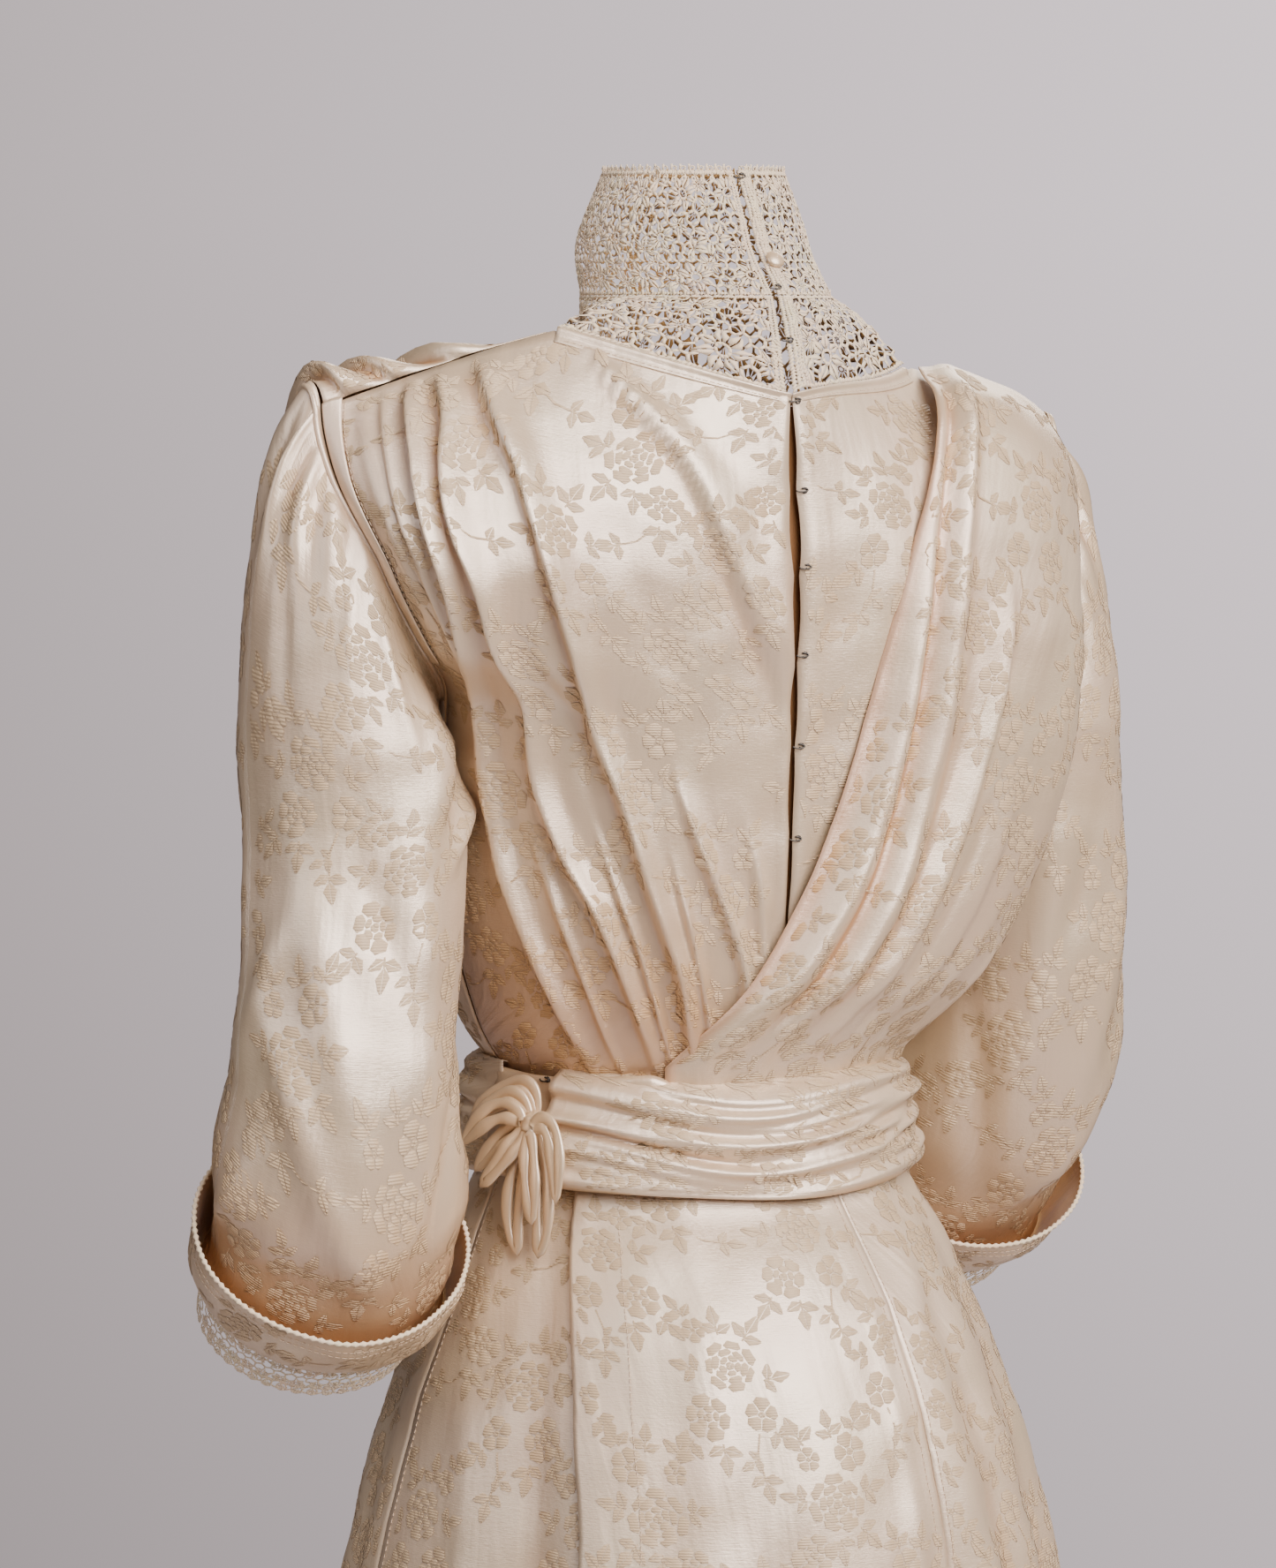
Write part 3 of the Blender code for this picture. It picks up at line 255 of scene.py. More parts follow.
def satinMaterial(name, code, shadeCode, roughness, slub, sockets):
    # Silk satin: long warp floats with soft slubs across them, and painted shade, warmer and darker, down in
    # the folds.
    # The slubs are 8 mm long and 0.5 mm apart, coarser than real ones so that they show.
    material, tree, shader, cloth, paintedShade = silkMaterial(name, code, roughness, sockets)
    place = addNode(tree, "ShaderNodeTexCoord").outputs["Object"]
    slubs = addNode(tree, "ShaderNodeMapping", None, {"Scale": (130.0, 1900.0, 1.0)}, {"Vector": cloth})
    threads = addNode(tree, "ShaderNodeTexNoise", None, {"Scale": 1.0, "Detail": 2.0, "Roughness": 0.6},
                      {"Vector": slubs.outputs["Vector"]})
    cloud = addNode(tree, "ShaderNodeTexNoise", None, {"Scale": 16.0, "Detail": 3.0, "Roughness": 0.55},
                    {"Vector": place})
    dents = addNode(tree, "ShaderNodeTexNoise", None, {"Scale": 60.0, "Detail": 3.0, "Roughness": 0.6},
                    {"Vector": place})
    aged = addNode(tree, "ShaderNodeMix", {"data_type": "RGBA", "blend_type": "MULTIPLY"},
                   {0: 0.10, 6: hexColour(code)}, {7: cloud.outputs["Color"]})
    tone = addNode(tree, "ShaderNodeMix", {"data_type": "RGBA"}, {7: hexColour(shadeCode)},
                   {0: paintedShade, 6: aged.outputs[2]})
    tree.links.new(tone.outputs[2], shader.inputs["Base Color"])
    gloss = addNode(tree, "ShaderNodeMapRange", None,
                    {"To Min": roughness - 0.08, "To Max": roughness + 0.10}, {"Value": cloud.outputs["Fac"]})
    tree.links.new(gloss.outputs["Result"], shader.inputs["Roughness"])
    grain = addNode(tree, "ShaderNodeTexNoise", None, {"Scale": 620.0, "Detail": 2.0, "Roughness": 0.6},
                    {"Vector": cloth})
    long = addNode(tree, "ShaderNodeMapping", None, {"Scale": (75.0, 10.0, 1.0)}, {"Vector": cloth})
    pulls = addNode(tree, "ShaderNodeTexNoise", None, {"Scale": 1.0, "Detail": 2.0, "Distortion": 0.4},
                    {"Vector": long.outputs["Vector"]})
    under = {}
    for source, strength, distance in ((pulls, 0.45, 0.0022), (dents, 0.30, 0.0009), (grain, 0.55, 0.00018),
                                       (threads, slub, 0.00012)):
        # Pulled threads, soft dents, grain and slubs, each over the one before.
        relief = addNode(tree, "ShaderNodeBump", None, {"Strength": strength, "Distance": distance},
                         {"Height": source.outputs["Fac"], **under})
        under = {"Normal": relief.outputs["Normal"]}
    tree.links.new(under["Normal"], shader.inputs["Normal"])
    return material


def figureMaterial(name, code, shadeCode):
    # The damask figure: short weft floats, so it is matt, and ribbed along the weft.
    # Its threads cross the ground's, so its highlight is turned a quarter.
    sockets = {"Specular IOR Level": 0.5, "IOR": 1.6, "Anisotropic": 0.8, "Anisotropic Rotation": 0.25,
               "Metallic": 0.05}
    material, tree, shader, cloth, paintedShade = silkMaterial(name, code, 0.55, sockets)
    # Painted shade in the folds, in the figure's own warmer tone.
    tone = addNode(tree, "ShaderNodeMix", {"data_type": "RGBA"},
                   {6: hexColour(code), 7: hexColour(shadeCode)}, {0: paintedShade})
    tree.links.new(tone.outputs[2], shader.inputs["Base Color"])
    ribs = addNode(tree, "ShaderNodeTexWave", {"bands_direction": "Y"},
                   {"Scale": 240.0, "Distortion": 1.2, "Detail": 1.0, "Detail Scale": 3.0}, {"Vector": cloth})
    rise = addNode(tree, "ShaderNodeBump", None, {"Strength": 0.8, "Distance": 0.00030},
                   {"Height": ribs.outputs["Fac"]})
    tree.links.new(rise.outputs["Normal"], shader.inputs["Normal"])
    return material


def laceMaterial(name, code):
    # Cotton crochet: matt, with twisted-thread grain.
    material, tree, shader = makeMaterial(name, code, 0.82, {"Sheen Weight": 0.2, "Specular IOR Level": 0.3})
    place = addNode(tree, "ShaderNodeTexCoord").outputs["Object"]
    twist = addNode(tree, "ShaderNodeTexNoise", None, {"Scale": 900.0, "Detail": 2.0}, {"Vector": place})
    cloud = addNode(tree, "ShaderNodeTexNoise", None, {"Scale": 60.0, "Detail": 2.0}, {"Vector": place})
    aged = addNode(tree, "ShaderNodeMix", {"data_type": "RGBA", "blend_type": "MULTIPLY"},
                   {0: 0.16, 6: hexColour(code)}, {7: cloud.outputs["Color"]})
    tree.links.new(aged.outputs[2], shader.inputs["Base Color"])
    rise = addNode(tree, "ShaderNodeBump", None, {"Strength": 0.6, "Distance": 0.0003},
                   {"Height": twist.outputs["Fac"]})
    tree.links.new(rise.outputs["Normal"], shader.inputs["Normal"])
    return material


satinSockets = {"Specular IOR Level": 1.0, "IOR": 2.05, "Anisotropic": 0.6, "Metallic": 0.27}
plainSockets = {"Specular IOR Level": 1.0, "IOR": 2.0, "Metallic": 0.25}
satin = satinMaterial("ivory silk satin ground", "D6BB97", "B4783C", 0.42, 0.80, satinSockets)
# Inner faces: matt, as a satin's back is, but coloured darker and warmer as painted shade, and darker still
# in the folds.
shadedReverse = satinMaterial("satin reverse side", "BD925F", "885C30", 0.60, 0.50, {"Sheen Weight": 0.2})
plain = satinMaterial("plain satin trim", "D6B78E", "B98148", 0.34, 0.45, plainSockets)
figure = figureMaterial("damask weft figure", "C6AC88", "BE8A50")
lace = laceMaterial("cream crochet lace", "EAD4B2")
# The lace's inner faces are dark brown as painted shade, seen through the holes.
laceInnerShade = laceMaterial("crochet lace, inner side", "94703F")
thread = makeMaterial("silk sewing thread", "D6BC9C", 0.6, {"Sheen Weight": 0.2})[0]
steel = makeMaterial("darkened hook steel", "4E4A45", 0.42, {"Metallic": 0.9})[0]
print("materials made")


# The damask repeat, charted in metres: sprays of roses, small open flowers and leaves in threes.
def polar(turn, size):
    return size * np.array([math.cos(math.radians(turn)), math.sin(math.radians(turn))])


def turned(points, turn, at):
    # Turned by so many degrees about zero, then moved to its place.
    c, s = math.cos(math.radians(turn)), math.sin(math.radians(turn))
    points = np.asarray(points, dtype=float)
    return points @ np.array([[c, s], [-s, c]]) + np.asarray(at)


def leafShapes(at, long, wide, turn, count=6):
    # Two halves either side of a bare vein: half width = wide * sin(pi t^0.8), with small teeth.
    t = np.linspace(0.0, 1.0, count)
    half = wide * 0.5 * np.sin(pi * t**0.8) * (1 + 0.12 * np.cos(pi * (count - 1) * t))
    vein = 0.00025 + 0.0 * t
    shapes = []
    for side in (1, -1):
        edge = np.stack([t * long, side * np.maximum(half, vein)], axis=1)
        middle = np.stack([t[::-1] * long, side * vein], axis=1)
        shapes.append(turned(np.concatenate([edge, middle[2:-2]])[::side], turn, at))
    return shapes


def roseShapes(at, size, turn, rings):
    # Rings of petals: outer radius = size * ring * (1 - dip * |cos|), with bare lines between petals.
    shapes = []
    for ring in rings:
        count = ring["count"]
        for k in range(count):
            begin = ring["shift"] + 360.0 * k / count
            width = 360.0 / count - ring["gap"] / (ring["out"] * size) * 57.3
            s = np.linspace(0.0, 1.0, 5)
            bulge = 1 - 0.20 * np.abs(2 * s - 1) ** 2.6 - 0.07 * np.exp(-((s - 0.5) / 0.10) ** 2)
            out = size * ring["out"] * bulge * (1 + 0.06 * math.sin(2.3 * k + ring["shift"]))
            angle = np.radians(begin + width * s)
            edge = np.stack([np.cos(angle) * out, np.sin(angle) * out], axis=1)
            inner = np.radians(begin + width * (0.12 + 0.76 * s[::-4]))
            low = size * ring["in"]
            base = np.stack([np.cos(inner) * low, np.sin(inner) * low], axis=1)
            shapes.append(turned(np.concatenate([edge, base]), turn, at))
    return shapes


def stemShapes(path, wide):
    # A strip along a smooth curve through the charted points.
    path = np.asarray(path, dtype=float)
    t = np.linspace(0.0, 1.0, 2 * len(path) - 3)
    at = np.linspace(0.0, 1.0, len(path))
    line = np.stack([follow(at, path[:, 0], t), follow(at, path[:, 1], t)], axis=1)
    along = unit(np.gradient(line, axis=0))
    side = np.stack([-along[:, 1], along[:, 0]], axis=1) * wide / 2
    low, high = line - side, line + side
    return [np.stack([low[k], low[k + 1], high[k + 1], high[k]]) for k in range(len(line) - 1)]


bigRings = table(
    "out in count shift gap",
    (1.0, 0.7, 7, 0, 0.0009), (0.7, 0.44, 6, 25, 0.0008), (0.42, 0.2, 5, 50, 0.0007),
    (0.17, 0.02, 3, 10, 0.0004),
)
smallRings = table(
    "out in count shift gap",
    (1.0, 0.5, 6, 12, 0.0009), (0.5, 0.24, 5, 40, 0.0007), (0.2, 0.02, 3, 0, 0.0004),
)
openRings = table(
    "out in count shift gap",
    (1.0, 0.26, 5, 8, 0.0009), (0.2, 0.02, 4, 0, 0.0003),
)

# A rose has a place, a size, a turn and rings; a triple, which is a leaf in three parts on a short stalk,
# has a place, a size and a turn; a stem has a path and a width. They overlap as in one dense spray.
sprayOne = (
    ("rose", (0.0, 0.0), 0.0195, 12, bigRings), ("rose", (0.019, -0.031), 0.0145, 70, smallRings),
    ("rose", (-0.014, 0.032), 0.0125, 30, openRings), ("rose", (0.015, 0.029), 0.008, 50, openRings),
    ("triple", (0.017, 0.038), 1.0, 62), ("triple", (-0.018, 0.045), 0.95, 112),
    ("triple", (-0.002, 0.042), 0.9, 80), ("triple", (-0.019, 0.006), 0.95, 168),
    ("triple", (0.02, 0.003), 0.85, 14), ("triple", (-0.014, -0.016), 1.0, 226),
    ("triple", (0.001, -0.022), 0.85, 262), ("triple", (0.03, -0.043), 0.9, -48),
    ("triple", (0.015, -0.047), 1.05, -100),
    ("stem", [(0.01, -0.05), (-0.002, -0.058), (-0.012, -0.06)], 0.0012),
    ("triple", (-0.012, -0.06), 0.85, 190),
)
sprayTwo = (
    ("rose", (0.004, 0.02), 0.0175, 50, bigRings), ("rose", (-0.015, -0.013), 0.0155, 5, smallRings),
    ("rose", (0.019, -0.012), 0.0115, 40, openRings), ("rose", (-0.015, 0.044), 0.0085, 15, openRings),
    ("triple", (0.015, 0.036), 1.0, 50), ("triple", (0.0, 0.041), 0.95, 92),
    ("triple", (-0.019, 0.053), 0.85, 122), ("triple", (-0.017, 0.018), 0.9, 164),
    ("triple", (0.024, 0.01), 0.85, 12), ("triple", (-0.026, -0.027), 0.95, 232),
    ("triple", (-0.008, -0.03), 1.0, 272), ("triple", (0.026, -0.023), 0.95, -42),
    ("stem", [(0.016, -0.024), (0.013, -0.038), (0.015, -0.05)], 0.0012),
    ("triple", (0.014, -0.04), 0.7, -150), ("triple", (0.015, -0.05), 0.95, -80),
)
damask = {"scale": 0.76, "columnWide": 0.0455, "repeatTall": 0.122, "margin": 0.002, "lift": 0.00028,
          "lean": 0.31, "batch": 20000}


def chartShapes(spray):
    # A triple: its stalk is 6.2 mm at size 1 and full scale, and its side leaves swing 68 and 64 degrees out.
    shapes = []
    for kind, *item in spray:
        if kind == "rose":
            shapes += roseShapes(*item)
        elif kind == "stem":
            shapes += stemShapes(*item)
        else:
            at, size, turn = item
            way = polar(turn, 1.0)
            tip = np.array(at) + way * 0.0062 * size
            shapes += stemShapes([at, (np.array(at) + tip) / 2, tip], 0.0011)
            for back, long, wide, swing in ((0.0, 0.0150, 0.0084, 0), (0.0030, 0.0125, 0.0072, 68),
                                            (0.0045, 0.0118, 0.0068, -64)):
                shapes += leafShapes(tip - way * back, long * size, wide * size, turn + swing)
    return [shape * damask["scale"] for shape in shapes]


sprays = [chartShapes(sprayOne), chartShapes(sprayTwo)]


def onSheet(cloth, plan, flat):
    # Flat cloth coordinates to places, normals and shade on the sheet, and which of them fall on it.
    across, down = plan
    row = np.clip(np.searchsorted(down, flat[:, 1]) - 1, 0, len(down) - 2)
    t = (flat[:, 1] - down[row]) / (down[row + 1] - down[row])
    grids = (cloth["points"], cloth["normals"], cloth["shade"][..., None])
    found = [np.zeros((len(flat), grid.shape[-1])) for grid in grids]
    inside = (flat[:, 1] > down[0] + damask["margin"]) & (flat[:, 1] < down[-1] - damask["margin"])
    for first in range(0, len(flat), damask["batch"]):
        part = slice(first, first + damask["batch"])
        i, w = row[part], t[part][:, None]
        x = flat[part, 0]
        lines = across[i] * (1 - w) + across[i + 1] * w
        j = np.clip((lines < x[:, None]).sum(axis=1) - 1, 0, across.shape[1] - 2)
        k = np.arange(len(j))
        s = ((x - lines[k, j]) / np.maximum(lines[k, j + 1] - lines[k, j], 1e-9))[:, None]
        inside[part] &= (x > lines[:, 0] + damask["margin"]) & (x < lines[:, -1] - damask["margin"])
        for source, target in zip(grids, found):
            top = source[i, j] * (1 - s) + source[i, j + 1] * s
            low = source[i + 1, j] * (1 - s) + source[i + 1, j + 1] * s
            target[part] = top * (1 - w) + low * w
    places, normals, shade = found
    return places, unit(normals), shade[:, 0], inside


def addPatches(name, places, normals, sizes, starts, keep, uv, shade):
    # One face for each charted shape, with the cloth's own normals so that it shades as woven in.
    after = np.arange(len(places)) + 1
    after[starts + sizes - 1] = starts
    facing = np.add.reduceat(np.cross(places, places[after]), starts) * np.add.reduceat(normals, starts)
    faces = []
    used = np.zeros(len(places), dtype=bool)
    for start, size, whole, front in zip(starts, sizes, keep, facing.sum(axis=1) > 0):
        if whole:
            face = np.arange(start, start + size)
            faces.append(face if front else face[::-1])
            used[start:start + size] = True
    number = np.cumsum(used) - 1
    faces = [number[face].tolist() for face in faces]
    # Each shape's normals lean outward from its middle, so that it shades as slightly raised.
    middle = np.repeat(np.add.reduceat(places, starts) / sizes[:, None], sizes, axis=0)
    apart = places - middle
    reach = np.repeat(np.maximum.reduceat(np.linalg.norm(apart, axis=1), starts), sizes)[:, None]
    leaning = unit(normals + damask["lean"] * apart / reach)[used]
    lifted = places[used] + normals[used] * damask["lift"]
    piece = makeMesh(name, lifted, faces, figure, uv[used], {"paintedShade": shade[used]})
    piece.data.normals_split_custom_set_from_vertices(leaning.tolist())
    return piece


def weaveFigure(cloth, shiftAcross, shiftDown, mirror=1):
    # The two sprays take turns down each column, in half-drop; shapes that cross an edge are left out.
    plan = flatPlan(cloth["points"], cloth["points"].shape[1] // 2)
    across, down = plan
    shapes = []
    first = int(math.floor((across.min() - 0.1) / damask["columnWide"]))
    last = int(math.ceil((across.max() + 0.1) / damask["columnWide"]))
    for i in range(first, last + 1):
        for j in range(-2, int(math.ceil(down[-1] / damask["repeatTall"])) + 2):
            x = (i + 0.07 * math.sin(2.1 * j + i)) * damask["columnWide"] + shiftAcross
            y = (j + 0.5 * (i % 2) + 0.04 * math.sin(1.7 * i + j)) * damask["repeatTall"] + shiftDown
            at = np.array([x, y])
            if -0.08 < y < down[-1] + 0.08:
                flip = mirror * (-1 if (i // 2 + j) % 2 else 1)
                for shape in sprays[(i + j) % 2]:
                    shapes.append(shape * np.array([flip, -1.0]) + at)
    sizes = np.array([len(shape) for shape in shapes])
    starts = runLengths(sizes)
    flat = np.concatenate(shapes)
    places, normals, shade, inside = onSheet(cloth, plan, flat)
    keep = np.logical_and.reduceat(inside, starts)
    name = cloth["piece"].name + "_figure"
    piece = addPatches(name, places, normals, sizes, starts, keep, flat, shade)
    print("figure", name, int(keep.sum()), "shapes")


# Sizes shared with the solids
wall = 0.0014
seamGap = 0.0004
lapStand = 0.0020
collarTop = 0.067
collarBase = 0.006
necklineBack = -0.042
neckPoint = -0.009
shoulderTip = -0.047
waist = -0.384
beltTop = -0.376
beltBottom = -0.432
skirtTop = -0.3845
hem = -1.420
neckPointX = 0.098
neckPointY = 0.050
tipX = 0.205
tipY = 0.0125
sideY = 0.0
rightDroop = 0.019
waistWide = 0.099
waistBack = 0.088
waistFront = 0.086
neckShare = 0.46
centreGap = 0.0003
sideShare = 0.9965
topReach = 0.26
ridgeAt = 0.07
ridgeRise = 0.015

# Rows down the bodice from the top edge, v 0, to the waist, v 1: x y z on the armhole or side seam,
# cy cz on the centre line, and how full the curve between them is.
backRows = table(
    "v x y z cy cz full",
    (0.0, tipX, tipY, shoulderTip, 0.108, necklineBack, 0.8),
    (0.12, 0.201, 0.026, -0.08, 0.111, -0.084, 0.76), (0.26, 0.185, 0.04, -0.126, 0.113, -0.131, 0.76),
    (0.37, 0.164, 0.036, -0.162, 0.112, -0.17, 0.79), (0.46, 0.142, 0.016, -0.19, 0.111, -0.199, 0.82),
    (0.58, 0.138, 0.004, -0.236, 0.109, -0.24, 0.86), (0.72, 0.134, sideY, -0.29, 0.106, -0.29, 0.89),
    (0.9, 0.118, sideY, -0.352, 0.099, -0.35, 0.95),
    (1.0, waistWide, sideY, waist, waistBack, waist, 1.0),
)
frontRows = table(
    "v x y z cy cz full",
    (0.0, tipX, tipY, shoulderTip, -0.078, -0.08, 0.95), (0.06, 0.209, -0.012, -0.05, -0.09, -0.096, 0.9),
    (0.14, 0.194, -0.034, -0.08, -0.103, -0.114, 0.85),
    (0.26, 0.172, -0.044, -0.126, -0.118, -0.145, 0.82),
    (0.37, 0.158, -0.03, -0.162, -0.126, -0.178, 0.84), (0.46, 0.142, 0.015, -0.19, -0.127, -0.205, 0.84),
    (0.58, 0.138, 0.003, -0.236, -0.124, -0.24, 0.88), (0.72, 0.134, sideY, -0.29, -0.115, -0.29, 0.9),
    (0.9, 0.118, sideY, -0.352, -0.102, -0.352, 0.95),
    (1.0, waistWide, sideY, waist, -waistFront, waist, 1.0),
)


def outward(points):
    # Direction away from the body's core: flat round the trunk, turning upward over the shoulders.
    lift = np.maximum(0.0, points[..., 2] + 0.110) * 1.5
    return unit(np.stack([points[..., 0] * 0.6, points[..., 1] - 0.010, lift], axis=-1))


def topEdge(u, rows):
    # Neckline from the centre to the neck point, then the shoulder seam to its tip.
    first = rows[0]
    neck = np.clip(u / neckShare, 0.0, 1.0)
    seam = np.clip((u - neckShare) / (1 - neckShare), 0.0, 1.0)
    x = neckPointX * neck + (tipX - neckPointX) * seam
    y = first["cy"] + (neckPointY - first["cy"]) * neck ** 1.35 + (tipY - neckPointY) * seam
    z = first["cz"] + (neckPoint - first["cz"]) * neck ** 1.15 + (shoulderTip - neckPoint) * seam ** 1.1
    return np.stack([x, y, z], axis=-1)


def bodicePoints(u, v, rows, side):
    # u runs from the centre line to the armhole or side seam, v from the top edge to the waist.
    # Each row is a quarter of a rounded box: x = edge * sin(turn)^full, y = centre to edge by cos(turn)^full.
    read = reader(column(rows, "v"), rows, v)
    edgeY, edgeZ, centreZ, full = read("y"), read("z"), read("cz"), read("full")
    turn = u * pi / 2
    x = read("x") * power(np.sin(turn), full)
    y = edgeY + (read("cy") - edgeY) * power(np.cos(turn), full)
    z = centreZ + (edgeZ - centreZ) * u**2
    arc = np.stack([x, y, z], axis=-1)
    blend = ((1 - np.clip(v / topReach, 0.0, 1.0)) ** 2)[..., None]
    drop = np.zeros_like(arc)
    drop[..., 2] = (edgeZ - shoulderTip) * u + (centreZ - rows[0]["cz"]) * (1 - u)
    points = arc * (1 - blend) + (topEdge(u, rows) + drop) * blend
    if rows is frontRows:
        # The shoulder's highest line lies in front of the seam.
        rise = (v / ridgeAt) ** 2 * np.exp(2 * (1 - v / ridgeAt))
        points[..., 2] += ridgeRise * rise * softStep((u - 0.34) / 0.25)
    if side < 0:
        # The wearer's right shoulder hangs a little lower than the left.
        points[..., 2] -= rightDroop * softStep(u / neckShare) * (1 - softStep(v / 0.55))
    points[..., 0] = (points[..., 0] + centreGap * (1 - u)) * side
    return points


# Where a pleat's line lies at the top edge and low down, as shares of the way from centre to side.
backFlow = table(
    "line top low",
    (0.0, 0.0, 0.0), (0.12, 0.14, 0.09), (0.25, 0.3, 0.17), (0.38, 0.42, 0.26), (0.5, 0.54, 0.34),
    (0.62, 0.67, 0.43), (0.72, 0.78, 0.51), (0.8, 0.86, 0.6), (0.88, 0.93, 0.72), (1.0, 1.0, 1.0),
)
frontFlow = table(
    "line top low",
    (0.0, 0.0, 0.0), (0.35, 0.42, 0.24), (0.7, 0.78, 0.56), (1.0, 1.0, 1.0),
)
plainFlow = table(
    "line top low",
    (0.0, 0.0, 0.0), (1.0, 1.0, 1.0),
)


def flowShare(line, v, flow):
    # Pleat lines: where a line lies at the top edge and at the waist, and a slide from one to the other.
    at = column(flow, "line")
    along = np.clip(v, 0.0, 1.0) ** 0.85
    return follow(at, column(flow, "top"), line) * (1 - along) + follow(at, column(flow, "low"), line) * along


def waistPress(v):
    # The sash presses the folds nearly flat at the waist.
    return 1.0 - 0.80 * softStep((v - 0.86) / 0.14)


def softDents(points):
    # Uneven dents of worn silk: products and sums of slow sines in place, up to 1 mm.
    x, y, z = points[..., 0], points[..., 1], points[..., 2]
    return (0.00060 * np.sin(78 * x + 41 * z + 1.3) * np.sin(67 * y - 53 * z + 0.4)
            + 0.00030 * np.sin(121 * z + 64 * x + 2.2) * np.sin(103 * x + 0.9)
            + 0.00012 * np.sin(240 * z - 120 * y + 0.5 + 3 * np.sin(40 * x)))


hollowDepth = 0.0040


def foldShade(points, away, passes=27, tube=False):
    # Painted shade for the folds: how deep each point lies under the surface smoothed across them, as 0.8 *
    # (depth / 4 mm)^1.5.
    smooth = points.copy()
    for _ in range(passes):
        before, after = np.roll(smooth, 1, axis=1), np.roll(smooth, -1, axis=1)
        if not tube:
            before[:, 0], after[:, -1] = smooth[:, 0], smooth[:, -1]
        smooth = (before + 2 * smooth + after) / 4
    depth = ((smooth - points) * away).sum(axis=-1)
    return np.clip(depth / hollowDepth, 0.0, 1.0) ** 1.5 * 0.8


def ridges(line, v, folds):
    # Narrow creases: height = high * exp(-(gap / wide)^2), fading in and out from v0 to v1.
    height = np.zeros_like(line)
    for fold in folds:
        along = (v - fold["v0"]) / (fold["v1"] - fold["v0"])
        path = fold["path"]
        centre = path if isinstance(path, float) else follow(*np.transpose(path), v)
        swell = softStep(along / 0.25) * softStep((1.0 - along) / 0.25)
        across = (line - centre) / fold["wide"]
        across = np.where(across > 0, across * fold["steep"], across)
        height += fold["high"] * swell * np.exp(-(across**2))
    return height


# Bodice. Creases are given one by one: a path lists (level, line) places, or is one line all the way, and
# lines count from the centre out to the armhole or side seam. It fades in and out between the levels v0
# and v1, stands "high" metres up and "wide" lines out, and "steep" sharpens its outer flank.
# The left back's pleats open from the shoulder and swing down to the centre of the waist.
leftCreases = table(
    "v0 v1 high wide steep path",
    (-0.14, 0.46, 0.0068, 0.048, 3.6, [(0.0, 0.4), (0.03, 0.3), (0.07, 0.19), (0.13, 0.11),
      (0.215, 0.068), (0.305, 0.04), (0.4, 0.012)]),
    (-0.2, 1.16, 0.0096, 0.05, 3.4, [(0.0, 0.6), (0.075, 0.518), (0.145, 0.438), (0.215, 0.416),
      (0.35, 0.448), (0.46, 0.515), (0.575, 0.455), (0.65, 0.42), (0.75, 0.372), (0.835, 0.347),
      (0.945, 0.355)]),
    (-0.2, 1.16, 0.0094, 0.044, 3.2, [(0.0, 0.69), (0.085, 0.625), (0.26, 0.632), (0.395, 0.705),
      (0.53, 0.722), (0.645, 0.665), (0.73, 0.582), (0.835, 0.542), (0.935, 0.522)]),
    (-0.2, 1.16, 0.0086, 0.034, 2.8, [(0.0, 0.74), (0.15, 0.7), (0.275, 0.74), (0.465, 0.88),
      (0.615, 0.862), (0.735, 0.825), (0.855, 0.79), (0.96, 0.77)]),
    (-0.16, 0.5, 0.0016, 0.03, 1.0, [(0.0, 0.855), (0.12, 0.85), (0.3, 0.9), (0.4, 0.94)]),
    (-0.16, 0.56, 0.003, 0.022, 2.0, [(0.0, 0.8), (0.12, 0.79), (0.3, 0.83), (0.42, 0.88)]),
    (0.5, 1.16, 0.0065, 0.036, 3.0, [(0.56, 0.27), (0.63, 0.232), (0.725, 0.17), (0.84, 0.118),
      (1.0, 0.11)]),
    (0.56, 1.16, 0.0039, 0.024, 2.0, [(0.55, 0.11), (0.75, 0.06), (1.0, 0.05)]),
    (0.58, 1.16, 0.0047, 0.02, 2.0, [(0.6, 0.56), (0.8, 0.465), (1.0, 0.44)]),
    (0.62, 1.16, 0.0044, 0.022, 2.0, [(0.6, 0.33), (0.8, 0.275), (1.0, 0.262)]),
    (0.6, 1.16, 0.0044, 0.022, 2.0, [(0.62, 0.76), (0.8, 0.69), (1.0, 0.66)]),
    (0.32, 0.8, -0.0016, 0.03, 1.0, [(0.4, 0.6), (0.7, 0.5)]),
    (0.06, 0.7, -0.0013, 0.04, 1.0, [(0.1, 0.25), (0.4, 0.2)]),
)
rightCreases = table(
    "v0 v1 high wide steep path",
    (0.03, 0.9, 0.0026, 0.04, 1.0, 0.13), (-0.02, 0.7, 0.0024, 0.05, 2.0, 0.3),
    (-0.02, 0.6, -0.0014, 0.03, 1.0, 0.42),
)
